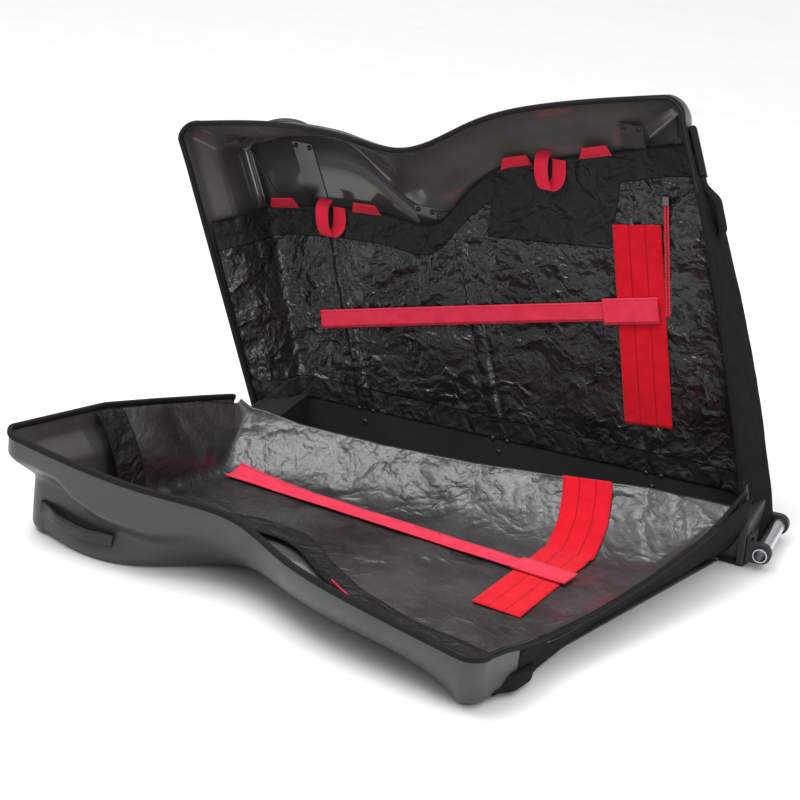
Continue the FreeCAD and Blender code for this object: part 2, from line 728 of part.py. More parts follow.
# Folded webbing loops that hang in front of the bound edge and lean off the wall above it
def edge_loop(middle):
    half = size("loop_width") / 2
    sections = []
    for rise, lean in ((size("loop_rise"), size("tab_lean")), (0.0, 0.0), (-size("loop_drop"), 0.0)):
        ends = [(x, liner_edge(x) + rise) for x in (middle - half, middle + half)]
        backs = [liner_front(x, min(height, liner_edge(x))) - LAY - lean for x, height in ends]
        sections.append(flat_section(*ends, *backs, size("loop_thickness")))
    return Part.makeLoft(sections, True, True)


# Carry grip: a flat arch whose feet are cut to the wall that carries them
def arch(length, rise, thickness, width, foot):
    half = length / 2
    top = rise + thickness
    lean = foot / 2
    points = [
        (-half, -foot),
        (-half, thickness),
        (-half + lean, top),
        (half - lean, top),
        (half, thickness),
        (half, -foot),
        (half - foot, -foot),
        (half - foot, 0),
        (half - foot - lean, rise),
        (-half + foot + lean, rise),
        (-half + foot, 0),
        (-half + foot, -foot),
    ]
    corners = [Vector(x, 0, z) for x, z in points]
    face = Part.Face(Part.makePolygon(corners + corners[:1]))
    return face.extrude(Vector(0, width, 0))


near_wall = dome(-GAP, -GAP, 0.0)


# Height of the outer wall above a station at a depth
def wall_height(x, y):
    ray = Part.makeLine(Vector(x, y, FAR), Vector(x, y, TUB_HEIGHT))
    return max(vertex.Z for vertex in ray.common(near_wall).Vertexes)


def wall_station(y, z):
    ray = Part.makeLine(Vector(0, y, z), Vector(FAR, y, z))
    return max(vertex.X for vertex in ray.common(near_wall).Vertexes)


grip_sizes = (size("grip_thickness"), size("grip_width"), size("grip_foot"))
top_grip = arch(size("grip_length"), size("top_grip_rise"), *grip_sizes)
grip_low = wall_height(size("grip_station") - size("grip_length") / 2, size("grip_depth"))
grip_high = wall_height(size("grip_station") + size("grip_length") / 2, size("grip_depth"))
grip_tilt = math.degrees(math.atan2(grip_high - grip_low, size("grip_length")))
grip_edge = size("grip_depth") - size("grip_width") / 2
grip_seat = Vector(size("grip_station"), grip_edge, (grip_low + grip_high) / 2)
top_grip.Placement = Placement(grip_seat, Rotation(Vector(0, 1, 0), -grip_tilt))
top_grip = top_grip.cut(near_wall)


def end_grip(height, length):
    half = length / 2
    at_depth = size("end_grip_depth")
    low = wall_station(at_depth, height - half)
    high = wall_station(at_depth, height + half)
    tilt = math.degrees(math.atan2(low - high, length))
    loop = arch(length, size("grip_rise"), *grip_sizes)
    seat = Vector((low + high) / 2, at_depth - size("grip_width") / 2, height)
    loop.Placement = Placement(seat, Rotation(Vector(0, 1, 0), 90 - tilt))
    return loop.cut(near_wall)


# Stays: flat bars riveted to the tub wall and to the back shell
def stay_section(middle, height, reach, offset):
    half = size("stay_width") / 2
    loop = []
    for x, inset in (
        (middle - half, 0.0),
        (middle + half, 0.0),
        (middle + half, size("stay_thickness")),
        (middle - half, size("stay_thickness")),
    ):
        loop.append(Vector(x, reach(x) + offset - inset, height))
    return Part.makePolygon(loop + loop[:1])


def stay(foot, head, low, high, bend):
    lean = (head - foot) / (high - TUB_HEIGHT)
    foot_offset = GAP + size("stay_thickness")
    pad_offset = -WALL - GAP
    low_x = head - lean * (high - low)
    sections = [
        stay_section(foot, size("stay_foot_inset"), tub_half, foot_offset),
        stay_section(foot, TUB_HEIGHT, tub_half, foot_offset),
        stay_section(low_x, low, depth, pad_offset),
        stay_section(head, high, depth, pad_offset - bend),
    ]
    return Part.makeLoft(sections, True, True)


STAY_NAMES = ("left", "middle", "right")


# Heights of a stay's pad, at its foot and at its head. The right one follows the peak.
def pad_heights(name):
    height = below_peak if name == "right" else size
    return height(f"{name}_stay_low"), height(f"{name}_stay_high")


stays = {}
for name in STAY_NAMES:
    foot, head, bend = (size(f"{name}_stay_{part}") for part in ("foot", "head", "bend"))
    stays[name] = stay(foot, head, *pad_heights(name), bend)


# Rivets: a domed head inside, a shank through both layers and a flat clinch outside
def rivet(base, outward, layers, clinch):
    shank = size("rivet_radius")
    end = layers + size("rivet_clinch")
    crown_point = Vector(0, 0, -size("rivet_dome"))
    brim = Vector(size("rivet_head"), 0, 0)
    swell = Vector(size("rivet_head") * math.sqrt(0.5), 0, -size("rivet_dome") * math.sqrt(0.5))
    corners = [
        brim,
        Vector(shank, 0, 0),
        Vector(shank, 0, layers),
        Vector(clinch, 0, layers),
        Vector(clinch, 0, end),
        Vector(0, 0, end),
        crown_point,
    ]
    edges = [Part.Arc(crown_point, swell, brim).toShape()]
    edges += [Part.LineSegment(a, b).toShape() for a, b in zip(corners, corners[1:]) if a != b]
    solid = Part.Face(Part.Wire(edges)).revolve(Vector(), Vector(0, 0, 1), 360)
    solid.Placement = Placement(base, Rotation(Vector(0, 0, 1), outward))
    return solid


def rivet_hole(base, outward, layers):
    radius = size("rivet_radius") + size("running_gap")
    beyond = size("rivet_dome")
    return Part.makeCylinder(radius, layers + 2 * beyond, base - outward * beyond, outward)


SIDE_SLANT = (size("hinge_half_handle") - size("hinge_half_wheel")) / size("base_length")
TUB_NORMAL = Vector(-SIDE_SLANT, 1, 0).normalize()
SHELL_NORMAL = Vector(FACE_SLOPE, 1, 0).normalize()
foot_layers = (size("tub_wall") + GAP + size("stay_thickness")) * TUB_NORMAL.y
head_layers = size("stay_thickness") * SHELL_NORMAL.y - size("rivet_clinch")
foot_rivets = []
foot_holes = []
head_rivets = []
head_holes = []
for name in STAY_NAMES:
    foot = size(f"{name}_stay_foot")
    low, high = pad_heights(name)
    head = size(f"{name}_stay_head")
    inset = size("rivet_head") + size("rivet_margin")
    spread = size("stay_width") / 2 - inset
    upper = TUB_HEIGHT - inset
    lower = upper - size("rivet_drop")
    for x, z in ((foot - spread, upper), (foot + spread, upper), (foot, lower)):
        base = Vector(x, tub_half(x) - size("tub_wall"), z)
        foot_rivets.append(rivet(base, TUB_NORMAL, foot_layers, size("rivet_clinch_radius")))
        foot_holes.append(rivet_hole(base, TUB_NORMAL, foot_layers))
    lean = (head - foot) / (high - TUB_HEIGHT)
    pull = size(f"{name}_stay_bend") / (high - low)
    pad_normal = Vector(FACE_SLOPE, 1, pull).normalize()
    for z, offset in ((high - inset, -spread), (high - inset, spread), (low + inset, 0.0)):
        x = head - lean * (high - z) + offset
        base = Vector(x, depth(x) - WALL - GAP - size("stay_thickness") - pull * (z - low), z)
        head_rivets.append(rivet(base, pad_normal, head_layers * pad_normal.y, size("rivet_radius")))
        head_holes.append(rivet_hole(base, pad_normal, head_layers))

doc.recompute()
foot_drills = Part.makeCompound(foot_holes)
head_drills = Part.makeCompound(head_holes)
feature("base_tub", tub_blank.Shape.cut(foot_drills))
feature("base_rivets", Part.makeCompound(foot_rivets))
feature("stay_rivets", Part.makeCompound(head_rivets))
for name in STAY_NAMES:
    feature(f"{name}_stay", stays[name].cut(foot_drills).cut(head_drills))

# Back half, fixed upright on the base
feature("back_shell", half_shell)
feature("back_end_gusset", end_gusset)
feature("back_rim_binding", rim_binding)
feature("back_seam_piping", seam_rod(size("seam_radius"), 0.0))
feature("back_lining", lining(BACK_FOLDS))
BACK_PANEL = (
    size("panel_station"),
    below_peak("back_panel"),
    size("back_panel_foot_station"),
    size("back_panel_foot"),
)
BACK_STRAP = [(size(f"back_strap_{end}"), size(f"back_strap_{end}_height")) for end in ("start", "end")]
feature("back_loop_panel", laid_strip(panel_edges(*BACK_PANEL), LAY, size("panel_thickness")))
feature("back_strap", long_strap(*BACK_STRAP, BACK_FOLDS))
feature("back_strap_sleeve", strap_sleeve(*BACK_STRAP, BACK_FOLDS))
feature("back_tabs", Part.makeCompound([edge_tab(x, BACK_FOLDS) for x in TAB_STATIONS]))
feature("back_strap_loops", Part.makeCompound([edge_loop(x) for x in LOOP_STATIONS]))
feature("back_top_grip", top_grip)
feature("back_end_grip", end_grip(below_peak("back_grip"), size("back_grip_length")))


# Front half: the same half mirrored, folded down about the hinge line
def front(label, shape):
    mirrored = shape.mirror(Vector(), Vector(0, 1, 0))
    return feature(label, mirrored, FOLDED_DOWN)


front("front_shell", half_shell)
front("front_end_gusset", end_gusset)
front("front_rim_binding", rim_binding)
front("front_lining", lining(FRONT_FOLDS))
FRONT_PANEL = (
    size("panel_station"),
    below_peak("front_panel"),
    size("front_panel_foot_station"),
    size("front_fold"),
)
FRONT_STRAP = [(size(f"front_strap_{end}"), size(f"front_strap_{end}_height")) for end in ("start", "end")]
climb_left = size("front_panel_foot_station") - size("panel_climb")
climb_right = climb_left + size("panel_width")
climb_top = LINER_LOW + size("liner_sill")
front_edges = panel_edges(*FRONT_PANEL) + [((climb_left, climb_top), (climb_right, climb_top))]
front("front_loop_panel", laid_strip(front_edges, LAY, size("panel_thickness"), FRONT_FOLDS))
front("front_strap", long_strap(*FRONT_STRAP, FRONT_FOLDS))
front("front_strap_sleeve", strap_sleeve(*FRONT_STRAP, FRONT_FOLDS))
front("front_tabs", Part.makeCompound([edge_tab(x, FRONT_FOLDS) for x in TAB_STATIONS]))
front("front_top_grip", top_grip)
front("front_end_grip", end_grip(below_peak("front_grip"), size("front_grip_length")))
feature(
    "hinge_piping",
    seam_rod(size("seam_radius"), 0.0).mirror(Vector(), Vector(0, 1, 0)),
)

# Apron: the lining's cloth over the outside of the tub's front wall
apron_start = -HALF_LENGTH + size("wheel_station") + 2 * size("nut_radius")
apron_plan = [
    (apron_start, -tub_half(apron_start) - GAP),
    (HALF_LENGTH, -tub_half(HALF_LENGTH) - GAP),
    (HALF_LENGTH, -tub_half(HALF_LENGTH) - GAP - size("apron_thickness")),
    (apron_start, -tub_half(apron_start) - GAP - size("apron_thickness")),
]
apron = prism(apron_plan, size("tub_floor") / 2, TUB_HEIGHT)
feature("base_apron", apron)

# Pocket zip on the back lining, with its slider at the upper end of the run
POCKET_TOP = (size("pocket_top_station"), below_peak("pocket_top"))
POCKET_FOOT = (size("pocket_foot_station"), size("pocket_foot"))
pocket_run = math.hypot(POCKET_FOOT[0] - POCKET_TOP[0], POCKET_FOOT[1] - POCKET_TOP[1])
feature(
    "pocket_zip",
    strip_between(POCKET_TOP, POCKET_FOOT, size("zip_width") / 2, LAY, size("zip_thickness")),
)
slider_share = size("slider_length") / pocket_run
slider_end = (
    POCKET_TOP[0] + (POCKET_FOOT[0] - POCKET_TOP[0]) * slider_share,
    POCKET_TOP[1] + (POCKET_FOOT[1] - POCKET_TOP[1]) * slider_share,
)
feature(
    "pocket_zip_slider",
    strip_between(
        POCKET_TOP,
        slider_end,
        size("slider_width") / 2,
        2 * LAY + size("zip_thickness"),
        size("slider_thickness"),
    ),
)

# Main zip slider at the lower end of the back rim, with its wire puller in the slider's eye
rim_at = Part.Face(rim_outer)


def rim_station(z):
    ray = Part.makeLine(Vector(0, 0, z), Vector(FAR, 0, z))
    return max(vertex.X for vertex in ray.common(rim_at).Vertexes)


slide_foot = size("slider_height")
slide_top = slide_foot + size("slider_length")
slide_low = Vector(rim_station(slide_foot), 0, slide_foot)
slide_axis = (Vector(rim_station(slide_top), 0, slide_top) - slide_low).normalize()
slide_tilt = math.degrees(math.atan2(-slide_axis.x, slide_axis.z))
slider_turn = Rotation(Vector(0, 1, 0), -slide_tilt)
outward = slider_turn.multVec(Vector(1, 0, 0))
slider_seat = slide_low + outward * GAP + Vector(0, size("rim_gap"), 0)
slider_place = Placement(slider_seat, slider_turn)

wire = size("puller_wire")
body_width = size("slider_width") - 2 * size("rim_gap")
eye_radius = wire + size("slider_eye_wall")
eye_width = size("slider_eye_width")
bar = Vector(size("slider_thickness") + eye_radius, body_width / 2, size("slider_length") / 2)
slider_block = Part.makeBox(size("slider_thickness"), body_width, size("slider_length"))
eye_start = bar - Vector(0, eye_width / 2, 0)
eye = Part.makeCylinder(eye_radius, eye_width, eye_start, Vector(0, 1, 0))
post_start = Vector(size("slider_thickness"), eye_start.y, bar.z - eye_radius)
post = Part.makeBox(eye_radius, eye_width, 2 * eye_radius, post_start)
eye_hole = Part.makeCylinder(wire + size("running_gap"), eye_width, eye_start, Vector(0, 1, 0))
feature("zip_slider", slider_block.fuse(eye).fuse(post).removeSplitter().cut(eye_hole), slider_place)
print("zip slide", slide_axis, "pocket slide", POCKET_TOP, POCKET_FOOT)

half_bow = size("puller_width") / 2 - wire
drop = Vector(0, 0, -size("puller_length"))
bow_points = [bar - Vector(0, half_bow, 0), bar + Vector(0, half_bow, 0)]
bow_points += [bow_points[1] + drop, bow_points[0] + drop]
bow_pieces = []
for start, end in zip(bow_points, bow_points[1:] + bow_points[:1]):
    bow_pieces.append(Part.makeCylinder(wire, (end - start).Length, start, end - start))
    bow_pieces.append(Part.makeSphere(wire, start))
puller = bow_pieces[0].multiFuse(bow_pieces[1:]).removeSplitter()
feature("zip_puller", puller, slider_place)
print("puller pivot", slider_place.multVec(bar))

doc.recompute()

NODES = [
    "base_tub", "wheel_housing", "base_rivets", "base_apron", "hinge_piping", "back_seam_piping",
    "wheel_axle", "axle_nuts", "front_wheel_tyre", "front_wheel_hub", "front_wheel_bearings",
    "back_wheel_tyre", "back_wheel_hub", "back_wheel_bearings",
    "handle_end_boot", "near_tube_bracket", "far_tube_bracket", "bracket_bolts", "pull_tube",
    "left_stay", "middle_stay", "right_stay", "stay_rivets",
    "back_shell", "back_end_gusset", "back_rim_binding", "back_lining", "back_loop_panel",
    "back_strap", "back_strap_sleeve", "back_tabs", "back_strap_loops", "back_top_grip", "back_end_grip",
    "pocket_zip", "pocket_zip_slider", "zip_slider", "zip_puller",
    "front_shell", "front_end_gusset", "front_rim_binding", "front_lining", "front_loop_panel",
    "front_strap", "front_strap_sleeve", "front_tabs", "front_top_grip", "front_end_grip",
]
failed = [piece.Label for piece in doc.Objects if "Invalid" in piece.State or "Error" in piece.State]
pieces = {piece.Label: piece for piece in doc.Objects}
for node in NODES:
    shape = pieces[node].Shape
    if shape.isNull() or not shape.isValid() or not shape.Solids:
        failed.append(node)
if failed:
    raise RuntimeError("failed pieces: " + ", ".join(failed))
os.makedirs("parts", exist_ok=True)
for node in NODES:
    pieces[node].Shape.exportStep(f"parts/{node}.step")
print(len(NODES), "nodes written")
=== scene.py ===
import math

import bpy
import numpy as np
from mathutils import Matrix, Vector, noise

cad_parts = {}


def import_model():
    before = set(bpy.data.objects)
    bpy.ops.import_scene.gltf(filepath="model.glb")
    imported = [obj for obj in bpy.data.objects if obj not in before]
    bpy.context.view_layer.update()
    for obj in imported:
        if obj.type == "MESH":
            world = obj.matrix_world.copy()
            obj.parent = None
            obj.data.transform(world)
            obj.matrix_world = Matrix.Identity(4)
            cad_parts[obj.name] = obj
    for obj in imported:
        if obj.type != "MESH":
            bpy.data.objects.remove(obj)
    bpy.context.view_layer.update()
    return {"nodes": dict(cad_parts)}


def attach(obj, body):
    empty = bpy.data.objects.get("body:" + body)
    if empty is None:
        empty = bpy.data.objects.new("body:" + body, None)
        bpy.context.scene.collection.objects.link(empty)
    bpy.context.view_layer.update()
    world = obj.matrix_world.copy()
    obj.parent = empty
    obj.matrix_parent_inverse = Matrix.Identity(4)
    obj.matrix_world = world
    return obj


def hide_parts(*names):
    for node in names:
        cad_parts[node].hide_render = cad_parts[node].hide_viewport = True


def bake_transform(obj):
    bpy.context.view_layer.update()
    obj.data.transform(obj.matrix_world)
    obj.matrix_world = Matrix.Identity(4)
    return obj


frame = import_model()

MM = 0.001

# Sizes of the case in millimetres: station x along the base, depth w from the rim to the outer face
# and height v, all as in the closed case. The front half is mirrored and folded down about the hinge.
LENGTH = 1035.0
HALF = LENGTH / 2
WALL = 3.5
DEPTHS = (190.0, 88.0)
HINGE_HALVES = (117.0, 84.0)
TUB_SETBACK = 8.0


# Size at a station, from its values at the wheels and at the pull tube
def along(ends, x):
    return ends[0] + (ends[1] - ends[0]) * (x + HALF) / LENGTH


def depth(x):
    return along(DEPTHS, x)


def hinge_half(x):
    return along(HINGE_HALVES, x)


def tub_half(x):
    return hinge_half(x) - TUB_SETBACK


SLOPE = (depth(-HALF) - depth(HALF)) / LENGTH
SCALE = math.hypot(1, SLOPE)


def hinge_height(x):
    return (depth(x) - hinge_half(x)) / SCALE


HINGE = Vector((-HALF, -hinge_half(-HALF), hinge_height(-HALF)))
HINGE_AXIS = (Vector((HALF, -hinge_half(HALF), hinge_height(HALF))) - HINGE).normalized()


def across(vector):
    return vector - HINGE_AXIS * vector.dot(HINGE_AXIS)


OPEN_ANGLE = across(Vector((SLOPE, -1, 0))).angle(across(Vector((0, 0, -1))))
FOLD = np.array(Matrix.Rotation(OPEN_ANGLE, 3, HINGE_AXIS))


# Open place, in metres, of points of the closed case
def world(points, front):
    p = np.asarray(points, float)
    if front:
        p = (p * (1, -1, 1) - HINGE) @ FOLD.T + HINGE
    return p * MM


# Smooth step from 0 at the low value to 1 at the high one
def ramp(low, high, value):
    t = np.clip((np.asarray(value, float) - low) / (high - low), 0, 1)
    return t * t * (3 - 2 * t)


# Natural cubic spline through control points, with knots that stay fixed when the points move
def spline(points, knots, places):
    points = np.asarray(points, float)
    step = np.diff(knots)
    count = len(knots)
    matrix = np.zeros((count, count))
    right = np.zeros(points.shape)
    matrix[0, 0] = matrix[-1, -1] = 1
    for i in range(1, count - 1):
        matrix[i, i - 1 : i + 2] = step[i - 1], 2 * (step[i - 1] + step[i]), step[i]
        rise = (points[i + 1] - points[i]) / step[i]
        right[i] = 6 * (rise - (points[i] - points[i - 1]) / step[i - 1])
    bend = np.linalg.solve(matrix, right)
    cell = np.clip(np.searchsorted(knots, places) - 1, 0, count - 2)
    width = step[cell][:, None]
    a = (knots[cell + 1] - places)[:, None] / width
    b = 1 - a
    curve = (a**3 - a) * bend[cell] + (b**3 - b) * bend[cell + 1]
    return a * points[cell] + b * points[cell + 1] + curve * width**2 / 6


# Outline of a half, from the heel over the lobe, waist and peak to the toe. The recess and the sweep
# are the shares of the draft taken round the low lobe and over the rest.
LOBE_X, LOBE_V, LOBE_R = -725, 651, 42
PEAK_X, PEAK_V, PEAK_R = 288, 850, 40
HEEL_OVERHANG = 10
SIDE_INSET, END_INSET = 54, 4
LOBE_DROP, PEAK_DROP = 52, 36
END_BOW = 72
# Station, height and drop of the crest's points, of which the first drops with the lobe
CREST = [(-400, 674, 52), (-255, 663, 135), (-120, 739, 165), (13, 794, 150), (150, 829, 118)]
CREST_KNOTS = np.array([0, 283, 429, 584, 728, 869, 968], float)
COUNTS = {"side": 56, "lobe": 12, "crest": 150, "peak": 12, "end": 64}


def outline(recess, sweep):
    left, right = SIDE_INSET * recess, END_INSET * sweep
    heel_x, toe_x = -HALF - HEEL_OVERHANG + left, HALF - right
    lobe_x, lobe_v = LOBE_X + left, LOBE_V - LOBE_DROP * recess
    peak_x, peak_v = PEAK_X - right, PEAK_V - PEAK_DROP * sweep
    heel, toe = np.array((heel_x, hinge_height(heel_x))), np.array((toe_x, hinge_height(toe_x)))
    side = np.linspace(heel, (lobe_x, lobe_v - LOBE_R), COUNTS["side"], endpoint=False)
    turn = np.linspace(math.pi, math.pi / 2, COUNTS["lobe"], endpoint=False)
    lobe = np.c_[lobe_x + LOBE_R + LOBE_R * np.cos(turn), lobe_v - LOBE_R + LOBE_R * np.sin(turn)]
    points = [(lobe_x + LOBE_R, lobe_v)]
    for x, v, drop in CREST:
        points.append((x, v - drop * (recess if x == CREST[0][0] else sweep)))
    points.append((peak_x - PEAK_R, peak_v))
    places = np.linspace(0, CREST_KNOTS[-1], COUNTS["crest"], endpoint=False)
    crest = spline(points, CREST_KNOTS, places)
    turn = np.linspace(math.pi / 2, 0, COUNTS["peak"], endpoint=False)
    peak = np.c_[peak_x - PEAK_R + PEAK_R * np.cos(turn), peak_v - PEAK_R + PEAK_R * np.sin(turn)]
    share = np.linspace(0, 1, COUNTS["end"])
    end_top = np.array((peak_x, peak_v - PEAK_R))
    end = end_top + (toe - end_top) * share[:, None]
    end[:, 0] += END_BOW * share * (1 - share)
    return np.vstack([side, lobe, crest, peak, end])


RIM = outline(0, 0)
RECESS = outline(1, 0) - RIM
SWEEP = outline(0, 1) - RIM
# Column where the hard shell ends and the cloth end starts
SEAM = COUNTS["side"] + COUNTS["lobe"] + COUNTS["crest"] + COUNTS["peak"] + 10
# Level of the step round the low lobe, by station
STEP_STATIONS = (-725, -650, -600, -560, -500, -400, -330, -250)
STEP_LEVELS = (0.3, 0.29, 0.31, 0.42, 0.5, 0.54, 0.46, 0.4)
STEP_LEVEL = np.interp(RIM[:, 0], STEP_STATIONS, STEP_LEVELS)


def normals(points):
    run = np.gradient(points, axis=0)
    run /= np.linalg.norm(run, axis=1)[:, None] + 1e-9
    return np.c_[-run[:, 1], run[:, 0]]


# Soft rim of the open front half: it sags near the heel and along the cloth end, and climbs at the toe
LEFT_SAG = ((60, 52), (90, 46), (165, 34), (270, 18), (400, 0))
RIGHT_SAG = ((5, -60), (40, -53), (100, -40), (205, -22), (370, 4), (515, 20), (640, 24), (740, 8), (780, 0))
SAG_LEFT, SAG_RIGHT = -430, 230
SAG_POWER = 1.5


def rim_fall(x, v, front):
    if not front:
        return np.zeros(np.shape(v))
    left = np.interp(v, *zip(*LEFT_SAG))
    right = np.interp(v, *zip(*RIGHT_SAG))
    x = np.asarray(x)
    return np.where(x < SAG_LEFT, left, np.where(x > SAG_RIGHT, right, 0.0))


# Share of the recess taken by the standing half and by the one on the floor, along the base and upwards
RECESS_SHARE = {False: (1.0, 1.15), True: (0.88, 0.95)}


# The standing half's low lobe sits a little under the outline, and the half on the floor leans out at
# its peak
LOBE_FALL = 6
PEAK_LEAN, PEAK_LEAN_GROWTH, PEAK_LIFT = 14, 6, 6


def lean(flat, level, front):
    x, v = flat[:, 0], flat[:, 1]
    if front:
        near = ramp(60, 250, x) * ramp(620, 790, v)
        return np.c_[(PEAK_LEAN + PEAK_LEAN_GROWTH * level) * near, PEAK_LIFT * near]
    near = (1 - ramp(-470, -340, x)) * ramp(540, 640, v)
    return np.c_[0 * x, -LOBE_FALL * (1 - level) * near]


# Parts of the recess taken before the step, at it and after it
RECESS_PARTS = (0.06, 0.8, 0.14)
STEP_LEAD, STEP_WIDTH, STEP_POWER = 0.08, 0.26, 1.6
SWEEP_POWER = 2.35


# Ring of a half at a level of its depth, moved inwards by an inset
def ring(level, inset=0.0, front=False):
    level = np.broadcast_to(np.asarray(level, float), len(RIM))
    through = np.clip((level - STEP_LEVEL + STEP_LEAD) / STEP_WIDTH, 0, 1)
    stepped = 1 - (1 - through**STEP_POWER) ** 2
    before, at_step, after = RECESS_PARTS
    recess = before * np.clip(level / STEP_LEVEL, 0, 1) + at_step * stepped + after * level**2
    sunk = recess if front else 0.5 * recess + 0.5 * level
    share_along, share_up = RECESS_SHARE[bool(front)]
    drawn = np.c_[recess * share_along, sunk * share_up] * RECESS
    points = RIM + drawn + (level**SWEEP_POWER)[:, None] * SWEEP
    points = points + lean(points, level, front)
    if np.any(inset):
        points = points - normals(points) * np.broadcast_to(inset, len(RIM))[:, None]
    fall = rim_fall(points[:, 0], points[:, 1], front) * (1 - level) ** SAG_POWER
    return np.c_[points[:, 0], level * depth(points[:, 0]) + fall, points[:, 1]]


EDGE_ROUND = 20.0


# Rings of a half from its rim to its outer face, with the edge rounded
def half_rows(front, levels=40, rounds=8):
    start = 1 - EDGE_ROUND / depth(RIM[:, 0])
    rows = [ring(start * share, 0.0, front) for share in np.linspace(0.007, 1, levels)]
    for angle in np.linspace(0, math.pi / 2, rounds + 1)[1:]:
        level = 1 - (1 - start) * (1 - math.sin(angle))
        rows.append(ring(level, EDGE_ROUND * (1 - math.cos(angle)), front))
    return np.array(rows)


# Meshes
def mesh(name, verts, faces, smooth=True, uv=None):
    data = bpy.data.meshes.new(name)
    data.from_pydata([tuple(v) for v in verts], [], faces)
    if smooth:
        data.shade_smooth()
    if uv is not None:
        layer = data.uv_layers.new(name="UVMap")
        index = np.zeros(len(data.loops), int)
        data.loops.foreach_get("vertex_index", index)
        layer.data.foreach_set("uv", np.asarray(uv, float)[index].ravel())
    obj = bpy.data.objects.new(name, data)
    bpy.context.collection.objects.link(obj)
    return obj


def lengths(points):
    return np.r_[0, np.cumsum(np.linalg.norm(np.diff(points, axis=0), axis=1))]


# Grid of points in metres. The UVs are metres along the rows and across them.
def surface(name, rows, closed=False, flip=False, capped=False):
    rows = np.asarray(rows, float)
    m, n = rows.shape[:2]
    faces = [tuple(range(n))[::-1], tuple(range(m * n - n, m * n))] if capped else []
    for i in range(m - 1):
        for j in range(n if closed else n - 1):
            k = (j + 1) % n
            face = (i * n + j, i * n + k, (i + 1) * n + k, (i + 1) * n + j)
            faces.append(face[::-1] if flip else face)
    u = np.stack([lengths(row) for row in rows])
    v = np.stack([lengths(rows[:, j]) for j in range(n)], axis=1)
    return mesh(name, rows.reshape(-1, 3), faces, True, np.stack([u, v], axis=-1).reshape(-1, 2))


# Section of a strip, squarer the lower the exponent is
def section(columns, exponent):
    turn = np.linspace(0, 2 * math.pi, columns, endpoint=False)
    c, s = np.cos(turn), np.sin(turn)
    return np.sign(c) * np.abs(c) ** exponent, np.sign(s) * np.abs(s) ** exponent


# Rounded strip or tube along a path: half width along the side vectors, half thickness along the ups
def sweep(name, path, sides, ups, half_width, half_thickness, power=2.0, columns=16):
    c, s = section(columns, 2 / power)
    w = np.broadcast_to(np.asarray(half_width, float), len(path))[:, None, None]
    t = np.broadcast_to(np.asarray(half_thickness, float), len(path))[:, None, None]
    rows = path[:, None] + sides[:, None] * w * c[None, :, None] + ups[:, None] * t * s[None, :, None]
    return surface(name, rows, closed=True, capped=True)


def join(first, *others):
    with bpy.context.temp_override(active_object=first, selected_editable_objects=[first, *others]):
        bpy.ops.object.join()
    return first


def unit(vectors):
    return vectors / (np.linalg.norm(vectors, axis=-1, keepdims=True) + 1e-12)


def frames(path, up):
    run = unit(np.gradient(path, axis=0))
    side = unit(np.cross(run, np.broadcast_to(up, path.shape)))
    return side, unit(np.cross(side, run))


def tube(name, path, radius, columns=10):
    side, up = frames(path, (0.31, 0.17, 0.93))
    return sweep(name, path, side, up, radius, radius, 2.0, columns)


def solidify(obj, thickness, offset=-1.0, inner_material=0):
    modifier = obj.modifiers.new("thickness", "SOLIDIFY")
    modifier.thickness = thickness
    modifier.offset = offset
    modifier.material_offset = inner_material
    modifier.material_offset_rim = 0
    return obj


def piece(obj, body, material, slot, nodes=(), *more):
    obj.data.materials.append(material)
    for extra in more:
        obj.data.materials.append(extra)
    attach(obj, body)
    if nodes:
        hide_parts(*nodes)
    return obj


# Cloth that climbs from the floor half over the tub's front wall: it lies along the base at the hinge and
# along the front half beyond, and is baked in place without a body.
def bending(obj, material, nodes):
    obj.data.materials.append(material)
    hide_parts(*nodes)
    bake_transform(obj)
    return obj


# Materials
def node(tree, kind, inputs=None, **props):
    made = tree.nodes.new("ShaderNode" + kind)
    for key, value in props.items():
        setattr(made, key, value)
    for key, value in (inputs or {}).items():
        if isinstance(value, bpy.types.NodeSocket):
            tree.links.new(value, made.inputs[key])
        else:
            made.inputs[key].default_value = value
    return made


def new_material(name, **inputs):
    made = bpy.data.materials.new(name)
    made.use_nodes = True
    shader = made.node_tree.nodes["Principled BSDF"]
    for key, value in inputs.items():
        shader.inputs[key.replace("_", " ")].default_value = value
    return made, made.node_tree, shader


def noise_of(tree, scale, detail=3.0, rough=0.55, vector=None, warp=0.0):
    inputs = {"Scale": scale, "Detail": detail, "Roughness": rough, "Distortion": warp}
    inputs["Vector"] = vector or node(tree, "TexCoord").outputs["Object"]
    return node(tree, "TexNoise", inputs).outputs["Fac"]


def colours(tree, factor, *stops):
    made = node(tree, "ValToRGB", {"Fac": factor})
    elements = made.color_ramp.elements
    while len(elements) < len(stops):
        elements.new(0.5)
    for element, (position, colour) in zip(elements, stops):
        element.position = position
        element.color = (*colour, 1)
    return made.outputs["Color"]


def spread(tree, factor, low, high, start=0.3, end=0.7):
    inputs = {"Value": factor, "From Min": start, "From Max": end, "To Min": low, "To Max": high}
    return node(tree, "MapRange", inputs).outputs["Result"]


def maths(tree, operation, a, b=0.0):
    return node(tree, "Math", {0: a, 1: b}, operation=operation).outputs[0]


def mix(tree, factor, a, b):
    return node(tree, "Mix", {"Factor": factor, "A": a, "B": b}, data_type="RGBA").outputs["Result"]


def bump(tree, shader, *layers):
    normal = None
    for height, strength, distance in layers:
        inputs = {"Height": height, "Strength": strength, "Distance": distance}
        if normal is not None:
            inputs["Normal"] = normal
        normal = node(tree, "Bump", inputs).outputs["Normal"]
    tree.links.new(normal, shader.inputs["Normal"])


